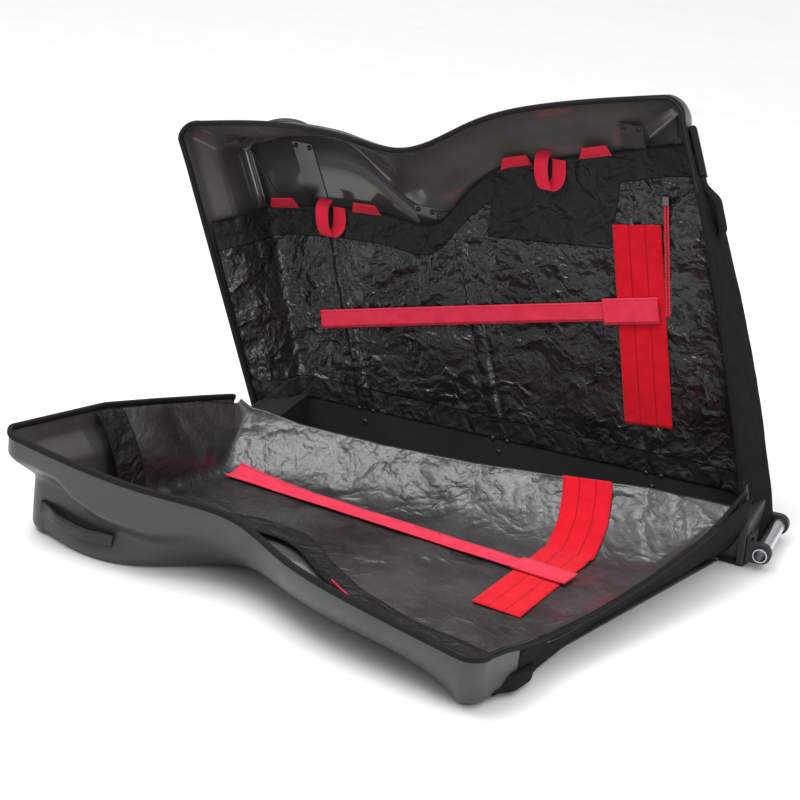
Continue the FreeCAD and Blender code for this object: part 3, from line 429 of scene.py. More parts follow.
def plastic(name, dark, light, rough, texture, fine=900.0, specular=0.5):
    made, tree, shader = new_material(name, Specular_IOR_Level=specular)
    broad = noise_of(tree, 9.0, 2.0)
    tree.links.new(colours(tree, broad, (0.3, dark), (0.7, light)), shader.inputs["Base Color"])
    tree.links.new(spread(tree, noise_of(tree, 26.0), rough - 0.05, rough + 0.05), shader.inputs["Roughness"])
    bump(tree, shader, (noise_of(tree, fine, 1.0), texture, 0.0004))
    return made


def metal(name, dark, light, rough, grain=(40.0, 40.0, 900.0)):
    made, tree, shader = new_material(name, Metallic=1.0)
    place = node(tree, "Mapping", {"Vector": node(tree, "TexCoord").outputs["Object"], "Scale": grain})
    lines = noise_of(tree, 6.0, 3.0, vector=place.outputs["Vector"])
    tree.links.new(colours(tree, lines, (0.3, dark), (0.7, light)), shader.inputs["Base Color"])
    tree.links.new(spread(tree, lines, rough - 0.06, rough + 0.08), shader.inputs["Roughness"])
    return made


# Woven cloth from two crossed wave textures on the UVs, whose unit is a metre
def weave(tree, pitch):
    uv = node(tree, "UVMap").outputs["UV"]
    waves = []
    for direction in ("X", "Y"):
        inputs = {"Vector": uv, "Scale": 0.31 / pitch, "Distortion": 0.4, "Detail": 1.0}
        waves.append(node(tree, "TexWave", inputs, bands_direction=direction).outputs["Fac"])
    return maths(tree, "MULTIPLY", *waves)


DASH_SHARE = 0.68


# Sewn lines: short dashes at given distances across the UVs
def stitches(tree, lines, pitch=0.006, width=0.0012):
    split = node(tree, "SeparateXYZ", {"Vector": node(tree, "UVMap").outputs["UV"]})
    place = maths(tree, "FRACT", maths(tree, "DIVIDE", split.outputs["X"], pitch))
    dash = maths(tree, "LESS_THAN", place, DASH_SHARE)
    total = None
    for line in lines:
        gap = maths(tree, "ABSOLUTE", maths(tree, "SUBTRACT", split.outputs["Y"], line))
        near = maths(tree, "LESS_THAN", gap, width)
        total = near if total is None else maths(tree, "MAXIMUM", total, near)
    return maths(tree, "MULTIPLY", total, dash)


def cloth(name, dark, light, rough, pitch, relief=0.35, lines=(), thread=None, sheen=0.08, gloss=0.18):
    made, tree, shader = new_material(name, Sheen_Weight=sheen, Sheen_Roughness=0.5, Specular_IOR_Level=gloss)
    threads = weave(tree, pitch)
    woven = maths(tree, "MULTIPLY", threads, 0.35)
    mottled = maths(tree, "MULTIPLY", noise_of(tree, 38.0), 0.65)
    mixed = maths(tree, "ADD", woven, mottled)
    colour = colours(tree, mixed, (0.25, dark), (0.65, light))
    layers = [(noise_of(tree, 46.0, 4.0), 0.25, 0.004), (threads, relief, 0.0006)]
    if lines:
        sewn = stitches(tree, lines)
        colour = mix(tree, sewn, colour, (*thread, 1))
        layers.append((maths(tree, "SUBTRACT", 1.0, sewn), 0.6, 0.001))
    tree.links.new(colour, shader.inputs["Base Color"])
    tree.links.new(spread(tree, mixed, rough - 0.08, rough + 0.08), shader.inputs["Roughness"])
    bump(tree, shader, *layers)
    return made


SEWN_HALF = 0.0011
SEAM_THREAD = (0.003, 0.003, 0.003, 1)


# Lining cloth: a shiny coated sheet with sharp creases, and plain sewn bands where the cloth's "plain"
# attribute, in metres past a seam, is positive. A dark sewn line runs along each seam.
def tarpaulin(name, dark, light, metallic, rough, relief, grain=1.0):
    made, tree, shader = new_material(name, IOR=1.6)
    place = node(tree, "TexCoord").outputs["Object"]
    drift = node(tree, "TexNoise", {"Vector": place, "Scale": 11.0, "Detail": 3.0}).outputs["Color"]
    moved = node(tree, "VectorMath", {0: drift, "Scale": 0.12}, operation="SCALE").outputs[0]
    moved = node(tree, "VectorMath", {0: place, 1: moved}, operation="ADD").outputs[0]
    seam = node(tree, "Attribute", attribute_name="plain").outputs["Fac"]
    plain = spread(tree, seam, 0.0, 1.0, -0.0004, 0.0004)
    shiny = maths(tree, "SUBTRACT", 1.0, plain)
    sewn = maths(tree, "LESS_THAN", maths(tree, "ABSOLUTE", seam), SEWN_HALF)
    ridges = []
    for scale, detail in ((6.0, 2.5), (19.0, 2.0)):
        inputs = {"Vector": moved, "Scale": scale * grain, "Detail": detail, "Roughness": 0.55}
        inputs.update({"Lacunarity": 2.1, "Offset": 0.9, "Gain": 1.8})
        made_ridge = node(tree, "TexNoise", inputs, noise_type="RIDGED_MULTIFRACTAL", normalize=True)
        ridges.append(maths(tree, "MULTIPLY", made_ridge.outputs["Fac"], shiny))
    facets = node(tree, "TexVoronoi", {"Vector": moved, "Scale": 17.0 * grain}).outputs["Distance"]
    facets = maths(tree, "MULTIPLY", facets, shiny)
    fine = noise_of(tree, 170.0, 3.0, vector=moved)
    broad = noise_of(tree, 6.0, 4.0, vector=moved)
    sheet_colour = colours(tree, broad, (0.32, dark), (0.68, light))
    cloth_colour = colours(tree, fine, (0.3, (0.009, 0.009, 0.01)), (0.7, (0.018, 0.018, 0.02)))
    mixed = mix(tree, plain, sheet_colour, cloth_colour)
    mixed = mix(tree, sewn, mixed, SEAM_THREAD)
    tree.links.new(mixed, shader.inputs["Base Color"])
    tree.links.new(maths(tree, "MULTIPLY", shiny, metallic), shader.inputs["Metallic"])
    gloss = spread(tree, fine, rough - 0.08, rough + 0.1)
    gloss = maths(tree, "MAXIMUM", gloss, maths(tree, "MULTIPLY", plain, 0.5))
    tree.links.new(gloss, shader.inputs["Roughness"])
    folds = maths(tree, "MULTIPLY", noise_of(tree, 15.0, 2.5, 0.6, moved, 0.6), plain)
    sheen = spread(tree, plain, 0.5, 0.16, 0.0, 1.0)
    tree.links.new(sheen, shader.inputs["Specular IOR Level"])
    layers = [(ridges[0], relief, 0.012), (facets, relief * 0.8, 0.008), (ridges[1], relief * 0.6, 0.004)]
    layers += [(folds, 0.9, 0.03)]
    layers += [(fine, 0.1, 0.001), (maths(tree, "SUBTRACT", 1.0, sewn), 0.8, 0.0015)]
    bump(tree, shader, *layers)
    return made


WEBBING_THREAD = (0.5, 0.01, 0.03)
PILE_THREAD = (0.25, 0.0, 0.01)
ZIP_THREAD = (0.03, 0.0, 0.0)
shell_out = plastic("shell_outer", (0.036, 0.041, 0.04), (0.043, 0.048, 0.047), 0.4, 0.05)
# The inner face is the same plastic as the outer. Its gloss is the plastic's own, and its base colour, about
# twice as light, is painted light for the shade inside the hollow halves.
shell_in = plastic("shell_inner", (0.07, 0.069, 0.063), (0.092, 0.09, 0.083), 0.13, 0.02, 40.0, 0.8)
tub_black = plastic("tub_black", (0.02, 0.019, 0.019), (0.027, 0.026, 0.026), 0.42, 0.1)
boot_black = plastic("boot_black", (0.011, 0.011, 0.012), (0.017, 0.017, 0.018), 0.45, 0.12)
grip_black = plastic("grip_black", (0.010, 0.011, 0.011), (0.015, 0.016, 0.016), 0.5, 0.2, 400.0)
tyre_black = plastic("tyre_black", (0.012, 0.012, 0.012), (0.02, 0.02, 0.02), 0.7, 0.3, 300.0)
hub_grey = plastic("hub_grey", (0.03, 0.03, 0.032), (0.04, 0.04, 0.043), 0.45, 0.1)
rivet_black = plastic("rivet_black", (0.008, 0.008, 0.008), (0.013, 0.013, 0.013), 0.25, 0.05)
stay_grey = plastic("stay_grey", (0.04, 0.04, 0.038), (0.055, 0.055, 0.052), 0.2, 0.03, 300.0, 0.8)
tube_silver = metal("tube_silver", (0.62, 0.63, 0.65), (0.74, 0.75, 0.77), 0.26, (900.0, 20.0, 900.0))
coil_black = plastic("coil_black", (0.012, 0.012, 0.013), (0.02, 0.02, 0.021), 0.4, 0.3, 700.0)
zip_dark = metal("zip_dark", (0.11, 0.11, 0.115), (0.17, 0.17, 0.18), 0.35)
steel = metal("steel", (0.45, 0.45, 0.46), (0.6, 0.6, 0.61), 0.3)
nylon = cloth("black_nylon", (0.011, 0.011, 0.012), (0.02, 0.02, 0.021), 0.85, 0.0012, sheen=0.0, gloss=0.05)
binding_cloth = cloth(
    "binding_cloth", (0.009, 0.009, 0.01), (0.018, 0.018, 0.019), 0.75, 0.0012, sheen=0.0, gloss=0.12
)
# Both linings are one coated sheet: the front one's lighter colours are painted light where it faces up to
# the lamps, and the back one's darker colours are painted shade on the upright lid.
back_cloth_painted_shade = tarpaulin(
    "back_lining_cloth", (0.006, 0.006, 0.007), (0.022, 0.023, 0.024), 0.14, 0.23, 0.52, 1.7
)
front_cloth_painted_light = tarpaulin("front_lining_cloth", (0.014, 0.014, 0.015), (0.06, 0.061, 0.063), 0.12, 0.31, 0.4)
webbing_red = cloth(
    "webbing_red", (0.66, 0.022, 0.06), (0.84, 0.045, 0.1), 0.7, 0.0018, 0.4, (0.004, 0.034), WEBBING_THREAD
)
sleeve_red = cloth(
    "sleeve_red", (0.68, 0.024, 0.06), (0.86, 0.05, 0.1), 0.7, 0.0018, 0.4, (0.004, 0.048), WEBBING_THREAD
)
pile_red = cloth(
    "pile_red", (0.55, 0.002, 0.012), (0.78, 0.006, 0.022), 0.92, 0.0022, 0.5, (0.033, 0.066), PILE_THREAD
)
tab_red = cloth("tab_red", (0.66, 0.012, 0.04), (0.84, 0.026, 0.07), 0.75, 0.0018)
zip_red = cloth("zip_red", (0.6, 0.02, 0.04), (0.74, 0.04, 0.07), 0.6, 0.0018, 0.4, (0.005,), ZIP_THREAD)

# Hard shells: the wall rows, then the outer face as a grid down to the hinge line, and the bottom
FACE_FOOT = HALF - 34


def half_shell(name, front):
    rows = half_rows(front)[:, : SEAM + 1]
    obj = surface(name, world(rows, front), flip=front)
    last = rows[-1]
    x = np.linspace(last[0][0], FACE_FOOT, len(last))
    foot = np.c_[x, depth(x), hinge_height(x)]
    face = [last + (foot - last) * share for share in np.linspace(0, 1, 8)]
    flat = surface(name + "_face", world(face, front), flip=front)
    base_rows = []
    for share in np.linspace(0, 1, 8):
        w = hinge_half(x) + (depth(x) - hinge_half(x)) * share
        base_rows.append(np.c_[x, w, hinge_height(x)])
    bottom = surface(name + "_base", world(base_rows, front), flip=not front)
    join(obj, flat, bottom)
    return solidify(obj, WALL * MM, -1.0, 1)


bodies = {False: "base", True: "front_half"}
sides = {False: "back", True: "front"}
for is_front in (False, True):
    shell = half_shell(sides[is_front] + "_hard_shell", is_front)
    piece(shell, bodies[is_front], shell_out, "shell_plastic", [sides[is_front] + "_shell"], shell_in)


# Cloth end gussets: the back one swells a little, the front one is drawn in towards the floor
GUSSET_LAP = 4
GUSSET_SPAN = ((0, 0), (0.1, 0), (0.34, 0.85), (0.6, 1), (0.9, 0.9), (1, 0.7))
GUSSET_LIFT = 1.2
BACK_SWELL = ((60, 50), (90, 50), (300, 42), (600, 24), (800, 6))
FRONT_DRAW = 48
# Scales of the cloth's ripples, the seed that sets the front half's apart, and their height
RIPPLES = (((0.011, 0.02, 0.011), 7, 5.5), ((0.034, 0.05, 0.03), 3, 2.2))
TUCKS = (10, 20, 34, 46)
FACE_LAP = 4


def ripple(points, scales, seed):
    return np.array([noise.noise(Vector(p * scales + (0, 0, seed))) for p in points])


def end_gusset(name, front):
    rows = half_rows(front, 24, 6)[:, SEAM - GUSSET_LAP :]
    reach = np.linspace(0, 1, rows.shape[1])
    span = np.interp(reach, *zip(*GUSSET_SPAN))
    moved = []
    for row in rows:
        flat = row[:, [0, 2]]
        out = normals(flat)
        level = np.clip(row[:, 1] / depth(row[:, 0]), 0, 1)
        if front:
            shift = -FRONT_DRAW * span * level**1.4
        else:
            swell = np.interp(row[:, 2], *zip(*BACK_SWELL))
            shift = swell * level**0.9 * np.clip(reach * 6, 0, 1)
        waves = sum(height * ripple(row, scales, seed * front) for scales, seed, height in RIPPLES)
        shift = shift + span * np.sin(np.pi * level) * waves + GUSSET_LIFT
        flat = flat + out * shift[:, None]
        moved.append(np.c_[flat[:, 0], row[:, 1], flat[:, 1]])
    last = moved[-1]
    for tuck in TUCKS:
        flat = last[:, [0, 2]] - normals(last[:, [0, 2]]) * (tuck * np.clip(reach * 8, 0.1, 1))[:, None]
        moved.append(np.c_[flat[:, 0], depth(flat[:, 0]) - FACE_LAP, flat[:, 1]])
    points = world(moved, front)
    obj = surface(name, points, flip=front)
    solidify(obj, 2 * MM)
    return obj, points


for is_front in (False, True):
    gusset, gusset_points = end_gusset(sides[is_front] + "_end_cloth", is_front)
    piece(gusset, bodies[is_front], nylon, "black_fabric", [sides[is_front] + "_end_gusset"])

# Webbing patch at the peak end of the standing half
PATCH_STAND = 6.0
columns = slice(SEAM - 9, SEAM - 1)
patch_rows = [ring(level, -PATCH_STAND)[columns] for level in np.linspace(0.14, 0.82, 14)]
patch = solidify(surface("back_end_patch", world(patch_rows, False)), 4 * MM, 0.0)
piece(patch, "base", nylon, "black_fabric")


# Bound rims with the zip's coil. At the toe the front one is drawn in.
RIM_OUT, RIM_HALF_HEIGHT = -2, 5
RIM_MIDDLE, RIM_HALF_DEPTH = 6.3, 5.8
COIL_OUT, COIL_DEPTH, COIL_RADIUS = -1.5, 2.2, 1.6
TOE_DRAW, TOE_LOW, TOE_HIGH = 13, 5, 170


def rim_loop(offset, level_depth, front):
    flat = RIM + normals(RIM) * offset
    flat = flat + lean(flat, 0.0, front)
    fall = rim_fall(flat[:, 0], flat[:, 1], front)
    toe = TOE_DRAW * (1 - ramp(TOE_LOW, TOE_HIGH, flat[:, 1])) * (flat[:, 0] > 0) if front else 0.0
    return np.c_[flat[:, 0] - toe, level_depth + fall, flat[:, 1]]


def rim_binding(name, front):
    loops = []
    for c, s in zip(*section(16, 0.6)):
        loops.append(rim_loop(RIM_OUT + RIM_HALF_HEIGHT * c, RIM_MIDDLE + RIM_HALF_DEPTH * s, front))
    return surface(name, world(np.stack(loops, axis=1), front), closed=True, flip=front)


for is_front in (False, True):
    side_name, body = sides[is_front], bodies[is_front]
    binding = rim_binding(side_name + "_rim", is_front)
    piece(binding, body, binding_cloth, "black_fabric", [side_name + "_rim_binding"])
    coil_path = world(rim_loop(COIL_OUT, COIL_DEPTH, is_front), is_front)
    coil = tube(side_name + "_zip_coil", coil_path, COIL_RADIUS * MM, 8)
    piece(coil, body, coil_black, "zip_metal")

# Linings: left wall, long wall and right wall, up to the bound edge. The front one climbs at its foot
# over the tub's front wall, so it has a riser and a crest there.
LINER_LOW = 80.0
LINER_HIGH = 770.0
FRONT_FOLD = 185.0
RISER = 145.0
EDGES = {
    False: [(-725, 432), (-650, 444), (-578, 458), (-513, 470), (-405, 484), (-327, 489), (-274, 484)]
    + [(-230, 480), (-197, 497), (-183, 519), (-155, 564), (-129, 595), (-88, 632), (-19, 653)]
    + [(67, 680), (275, 744)],
    True: [(-725, 436), (-640, 436), (-560, 432), (-480, 424), (-400, 412), (-307, 400), (-250, 404)]
    + [(-200, 432), (-126, 508), (-35, 590), (83, 652), (224, 694), (300, 714)],
}
EDGE_SMOOTHING = (-18, -9, 0, 9, 18)
CREST_HEIGHTS = [(-500, 118), (-455, 116), (-377, 102), (-208, 94), (-14, 95)]
CREST_HEIGHTS += [(142, 104), (332, 117), (521, 111)]
LINER_GAP, LINER_TUCK, TUB_GAP, RIM_TUCK = 12.0, 8, 5.0, 9
# Draw-in of the front lining's right corner, by height
LINING_DRAW = ((100, 38), (250, 44), (400, 46), (600, 42), (720, 22), (800, 4))
BOW_FOOT = 5


# Height of the bound upper edge at a station
def liner_edge(x, front):
    stations, heights = zip(*EDGES[front])
    x = np.asarray(x, float)
    return np.mean([np.interp(x + d, stations, heights) for d in EDGE_SMOOTHING], axis=0)


# Stations of the rim's left and right sides at a height
def wall_lines(v):
    low_left, low_right = hinge_height(-HALF), hinge_height(HALF)
    heel = -HALF - HEEL_OVERHANG
    left = heel + (LOBE_X - heel) * (v - low_left) / (LOBE_V - low_left)
    right = HALF + (PEAK_X - HALF) * (v - low_right) / (PEAK_V - low_right)
    return left, right


# Station and depth of a lining's four corners: left rim, the two inner ones and right rim
def liner_corners(v, at_base):
    stand = WALL + LINER_GAP
    left, right = wall_lines(v)
    inner_left = left + SIDE_INSET + stand + LINER_TUCK
    inner_right = right - stand - LINER_TUCK
    reach, back = (tub_half, TUB_GAP) if at_base else (depth, stand)
    corners = [(left + RIM_TUCK, RIM_TUCK), (inner_left, reach(inner_left) - back)]
    corners += [(inner_right, reach(inner_right) - back), (right - RIM_TUCK, RIM_TUCK)]
    return np.array(corners)


def corners_at(v, front):
    v = np.asarray(v, float)
    low = FRONT_FOLD if front else LINER_LOW
    first, last = liner_corners(low, not front), liner_corners(LINER_HIGH, False)
    share = ((v - low) / (LINER_HIGH - low))[..., None, None]
    found = first + (last - first) * share
    found[..., 0, 1] += rim_fall(-LENGTH, v, front)
    found[..., 3, 1] += rim_fall(LENGTH, v, front)
    if front:
        found[..., 2, 0] -= np.interp(v, *zip(*LINING_DRAW))
    return found


# Depth of a lining's long wall at a station and height
def liner_front(x, v, front):
    c = corners_at(v, front)
    share = (x - c[..., 1, 0]) / (c[..., 2, 0] - c[..., 1, 0])
    return c[..., 1, 1] + (c[..., 2, 1] - c[..., 1, 1]) * share


# Column weights over the four corners, rounded at the two inner ones
WALL_COLUMNS, CORNER_COLUMNS, LONG_COLUMNS = 16, 6, 200
LONG_START = WALL_COLUMNS + CORNER_COLUMNS
WALL_SHARE, LONG_MARGIN = 0.84, 0.03


def column_weights():
    left = [(1 - share, share, 0, 0) for share in np.linspace(0, WALL_SHARE, WALL_COLUMNS)]
    for t in np.linspace(0, 1, CORNER_COLUMNS + 2)[1:-1]:
        a, b, c = (1 - t) ** 2, 2 * t * (1 - t), t * t
        inner = a * WALL_SHARE + b + c * (1 - LONG_MARGIN)
        left.append((a * (1 - WALL_SHARE), inner, c * LONG_MARGIN, 0))
    left = np.array(left)
    share = np.linspace(LONG_MARGIN, 1 - LONG_MARGIN, LONG_COLUMNS)
    middle = np.c_[0 * share, 1 - share, share, 0 * share]
    return np.vstack([left, middle, left[::-1, ::-1]])


def crease(p, scale, seed):
    q = Vector(p) * scale + Vector((seed, 0, 0))
    return noise.ridged_multi_fractal(q, 0.9, 2.1, 4, 0.9, 1.6) - 0.9


# Outward bow of the cloth end at a height
def bow(v):
    share = np.clip((PEAK_V - v) / (PEAK_V - BOW_FOOT), 0, 1)
    return END_BOW * share * (1 - share)


# Stay channels sewn into the back lining, each from one station and height to another
CHANNELS = [((-437, 440), (-321, 95)), ((-160, 470), (-26, 95))]
CHANNELS += [((186, 690), (208, 574)), ((286, 160), (298, 95))]
CHANNEL_HALF, GROOVE_OFFSET, GROOVE_WIDTH = 13, 16, 5
CHANNEL_HEIGHT = 5.0


def channel_swell(x, v):
    total = np.zeros(np.shape(x))
    for (x0, v0), (x1, v1) in CHANNELS:
        centre = x0 + (x1 - x0) * (v - v0) / (v1 - v0)
        gap = np.abs(x - centre)
        ridge = np.clip(1 - (gap / CHANNEL_HALF) ** 2, 0, 1) ** 0.7
        groove = 0.5 * np.exp(-(((gap - GROOVE_OFFSET) / GROOVE_WIDTH) ** 2))
        total += np.where((v < v0) & (v > v1), ridge - groove, 0)
    return total


# Stations and rim heights of the riser's corners, its lap inside the tub and its slopes at both ends
RISER_STATIONS = (-508, -486, 503, 514)
RISER_RIMS = (130, 0, 0, 150)
RISER_LAP = ((7, 22), (6, 10), (4, 3), (0.5, 0.2))
RISER_OUT = 5
RISER_LEAVE = np.array((0, -40, -40.0))
RISER_LAND = np.array((0, -170, -6.0))


# Rows of the front lining from inside the tub over the crest and down to the floor, in metres
def riser_rows(weights, foot, count=34):
    x = weights @ RISER_STATIONS
    on_wall = weights[:, 1] + weights[:, 2]
    crest = np.interp(x, *zip(*CREST_HEIGHTS)) * on_wall + weights @ RISER_RIMS
    y = -tub_half(x)
    rows = []
    for inside, drop in RISER_LAP:
        rows.append(np.c_[x, y + inside * on_wall, crest - drop * on_wall])
    top = np.c_[x, y - RISER_OUT, crest]
    foot = foot / MM
    for t in np.linspace(0, 1, count, endpoint=False):
        a, b = (1 + 2 * t) * (1 - t) ** 2, t * (1 - t) ** 2
        c, d = t * t * (3 - 2 * t), t * t * (t - 1)
        rows.append(a * top + b * RISER_LEAVE + c * foot + d * RISER_LAND)
    return np.array(rows) * MM


CLOTH_STEPS = 130
WALL_BULGE = 60
# Plain bands along a lining's edge and foot, in metres, and the plain patch of the back one
EDGE_BAND, FOOT_BAND = 0.062, 0.043
PATCH_LEFT, PATCH_RIGHT = -100, 158
PATCH_FOOT = ((-100, 486), (160, 514))
SWELL_HEIGHT, CREASE_HEIGHT, PLAIN_CREASE = 3.6, 2.6, 0.45
SWELL_SCALE, CREASE_SCALE = 6.5, 7.5
grids = {}


def lining(name, front):
    weights = column_weights()
    low = FRONT_FOLD if front else LINER_LOW
    share = np.linspace(0, 1, CLOTH_STEPS)[:, None]
    v = low + (450 - low) * share * np.ones(len(weights))
    for _ in range(6):
        place = np.einsum("sk,tska->tsa", weights, corners_at(v, front))
        place[..., 0] += bow(v) * weights[:, 3] + WALL_BULGE * weights[:, 0] * weights[:, 1]
        v = low + (liner_edge(place[..., 0], front) - low) * share
    points = world(np.dstack([place[..., 0], place[..., 1], v]), front)
    below_edge = (liner_edge(place[..., 0], front) - v) * MM
    plain = EDGE_BAND - below_edge
    x = place[..., 0]
    if front:
        climb = riser_rows(weights, points[0])
        plain = np.vstack([np.full(climb.shape[:2], -1.0), plain])
        x = np.vstack([climb[..., 0] / MM, x])
        points = np.vstack([climb, points])
    else:
        above_foot = v - np.interp(x, *zip(*PATCH_FOOT))
        patch = np.minimum.reduce([x - PATCH_LEFT, PATCH_RIGHT - x, above_foot]) * MM
        plain = np.maximum.reduce([plain, FOOT_BAND - (v - low) * MM, patch])
    out = unit(np.cross(np.gradient(points, axis=1), np.gradient(points, axis=0)))
    if not front:
        out = -out
    grids[front] = points, out, x, len(points) - CLOTH_STEPS
    rows = np.linspace(0, 1, len(points))[:, None]
    rim = np.clip(np.minimum(rows, 1 - rows) * (20 if front else 9), 0, 1)
    flat = points.reshape(-1, 3)
    seed = Vector((3, 0, 5 * front))
    swell = np.array([noise.noise(Vector(p) * SWELL_SCALE + seed) for p in flat]).reshape(x.shape)
    sharp = np.array([crease(p, CREASE_SCALE, 11 + 5 * front) for p in flat]).reshape(x.shape)
    soft = np.where(plain > 0, PLAIN_CREASE, 1.0)
    shift = (np.clip(SWELL_HEIGHT * swell + CREASE_HEIGHT * sharp * soft, -3, 8) + 3.0) * rim
    if not front:
        shift = shift - CHANNEL_HEIGHT * channel_swell(x, v) * rim
    points = points + out * shift[..., None] * MM
    obj = surface(name, points)
    attribute = obj.data.attributes.new("plain", "FLOAT", "POINT")
    attribute.data.foreach_set("value", plain.ravel().astype(np.float32))
    return obj, points


# Place and inward normal on a lining. Under the front one's fold, the height runs on along its riser.
def on_lining(x, v, front):
    points, out, stations, risen = grids[front]
    low = FRONT_FOLD if front else LINER_LOW
    row = risen + (v - low) / (liner_edge(x, front) - low) * (CLOTH_STEPS - 1)
    if front:
        row = np.where(v < low, risen * (1 - (low - v) / RISER), row)
    row = np.clip(row, 0, len(points) - 1.001)
    found = []
    for a, b in zip(np.ravel(x), np.ravel(row)):
        i = int(b)
        part = 0
        for index, weight in ((i, 1 - b + i), (i + 1, b - i)):
            line = stations[index, LONG_START : LONG_START + LONG_COLUMNS]
            column = LONG_START + np.interp(a, line, np.arange(LONG_COLUMNS))
            j = min(int(column), LONG_START + LONG_COLUMNS - 2)
            mixed = np.r_[points[index, j], out[index, j]] * (j + 1 - column)
            part = part + weight * (mixed + np.r_[points[index, j + 1], out[index, j + 1]] * (column - j))
        found.append(part)
    found = np.array(found).reshape(*np.shape(x), 6)
    return found[..., :3], -unit(found[..., 3:])


for is_front in (False, True):
    sheet, sheet_points = lining(sides[is_front] + "_lining_cloth", is_front)
    solidify(sheet, 1.2 * MM, 0.0)
    if is_front:
        bending(sheet, front_cloth_painted_light, ["front_lining", "base_apron"])
    else:
        piece(sheet, "base", back_cloth_painted_shade, "lining_cloth", ["back_lining"])
    edge_cord = tube(sides[is_front] + "_lining_edge", sheet_points[-1], 2.6 * MM, 8)
    piece(edge_cord, bodies[is_front], binding_cloth, "black_fabric")


# Strips laid on a lining
def laid(name, edges, stand, front, columns=9, wave=0.0):
    share = np.linspace(0, 1, columns)[:, None]
    flat = np.array([np.array(a) + (np.array(b) - a) * share for a, b in edges])
    points, inward = on_lining(flat[..., 0], flat[..., 1], front)
    lift = np.full(flat.shape[:2], float(stand))
    if wave:
        ripple = [[noise.noise(Vector((p[0] * 0.012, p[1] * 0.012, 3.0))) + 0.4 for p in row] for row in flat]
        lift = lift + wave * np.array(ripple)
    return surface(name, (points + inward * lift[..., None] * MM).transpose(1, 0, 2), flip=front)


def refine(points, count):
    points = np.asarray(points, float)
    place = np.linspace(0, len(points) - 1, count)
    index = np.arange(len(points))
    return np.stack([np.interp(place, index, column) for column in points.T], axis=1)


# Both edges of a straight strip, as pairs of points along it
def edge_pairs(start, end, half, count):
    run = np.array(end, float) - start
    side = np.array((-run[1], run[0])) / np.hypot(*run) * half
    centre = np.linspace(start, end, count)
    return [(c - side, c + side) for c in centre]


# Left and right edges of the loop panels, then start, end and half width of the straps
PANELS = {
    False: [((154, 562), (251, 580)), ((232, 172), (329, 181))],
    True: [((154, 472), (251, 490)), ((169, 340), (266, 346)), ((184, 214), (281, 214))]
    + [((184, 130), (281, 130)), ((160, 44), (257, 44))],
}
STRAPS = {False: ((-435, 247), (162, 388), 19), True: ((-466, 176), (172, 281), 21)}
SLEEVE_LAP, SLEEVE_REACH, SLEEVE_HALF = 2, 111, 26
for is_front in (False, True):
    side_name, body = sides[is_front], bodies[is_front]
    flat = refine([[*a, *b] for a, b in PANELS[is_front]], 70)
    panel = laid(side_name + "_pile_panel", [(r[:2], r[2:]) for r in flat], 1.6, is_front, 15)
    solidify(panel, 1.8 * MM)
    if is_front:
        bending(panel, pile_red, ["front_loop_panel"])
    else:
        piece(panel, body, pile_red, "red_loop_pile", ["back_loop_panel"])
    start, end, half = STRAPS[is_front]
    strap = laid(side_name + "_long_strap", edge_pairs(start, end, half, 110), 5.2, is_front, 7, 1.2)
    piece(strap, body, webbing_red, "red_webbing", [side_name + "_strap"])
    solidify(strap, 2.2 * MM)
    run = math.dist(start, end)
    ahead = (np.array(end) - start) / run
    sleeve_start = np.array(end) - ahead * SLEEVE_LAP
    sleeve_end = np.array(end) + ahead * SLEEVE_REACH
    sleeve_run = edge_pairs(sleeve_start, sleeve_end, SLEEVE_HALF, 40)
    sleeve = laid(side_name + "_sleeve", sleeve_run, 8.4, is_front, 9, 1.6)
    piece(sleeve, body, sleeve_red, "red_webbing", [side_name + "_strap_sleeve"])
    solidify(sleeve, 4.4 * MM)


# Red tabs on the bound edge
TABS = (-545, -362, -56, 103)
TAB_HALF, TAB_TAPER = 32.5, 9
TAB_RISE, TAB_LAP = 21, 4
TAB_STAND, TAB_REACH = 2, 22


def tab(middle, front):
    rows = []
    for share in np.linspace(0, 1, 8):
        half = TAB_HALF - TAB_TAPER * share
        x = np.linspace(middle - half, middle + half, 12)
        edge = liner_edge(x, front)
        v = edge + TAB_RISE * share - TAB_LAP * (1 - share)
        w = liner_front(x, edge, front) - TAB_STAND - TAB_REACH * share
        rows.append(np.c_[x, w, v])
    return surface("tab", world(rows, front), flip=not front)


for is_front in (False, True):
    made = [tab(x, is_front) for x in TABS]
    tabs = join(*made)
    tabs.name = sides[is_front] + "_red_tabs"
    piece(tabs, bodies[is_front], tab_red, "red_webbing", [sides[is_front] + "_tabs"])
    solidify(tabs, 2 * MM)


# Webbing loops that hang over the back lining's edge, from a point on that edge
LOOP_PATH = [(-14, -4, 16), (-16, -18, 8), (-14, -25, -16), (-8, -25, -40)]
LOOP_PATH += [(2, -19, -56), (13, -11, -48), (18, -7, -22), (14, -5, 4)]
LOOP_HALF, LOOP_HALF_THICKNESS = 14, 1.2


def strap_loop(name, middle):
    top = float(liner_edge(middle, False))
    path = np.array(LOOP_PATH, float) + (middle, float(liner_front(middle, top, False)), top)
    knots = lengths(path)
    points = world(spline(path, knots, np.linspace(0, knots[-1], 48)), False)
    side = np.broadcast_to((1.0, 0.0, 0.0), points.shape)
    up = unit(np.cross(side, np.gradient(points, axis=0)))
    return sweep(name, points, np.array(side), up, LOOP_HALF * MM, LOOP_HALF_THICKNESS * MM, 4.0, 14)


loops = join(strap_loop("back_webbing_loops", -438), strap_loop("loop", 16))
piece(loops, "base", tab_red, "red_webbing", ["back_strap_loops"])

# Pocket zip
zip_edges = edge_pairs((254, 638), (290, 402), 5, 60)
pocket = laid("pocket_zip_tape", zip_edges, 2.0, False, 5)
piece(pocket, "base", zip_red, "red_webbing", ["pocket_zip"])
solidify(pocket, 1.4 * MM)


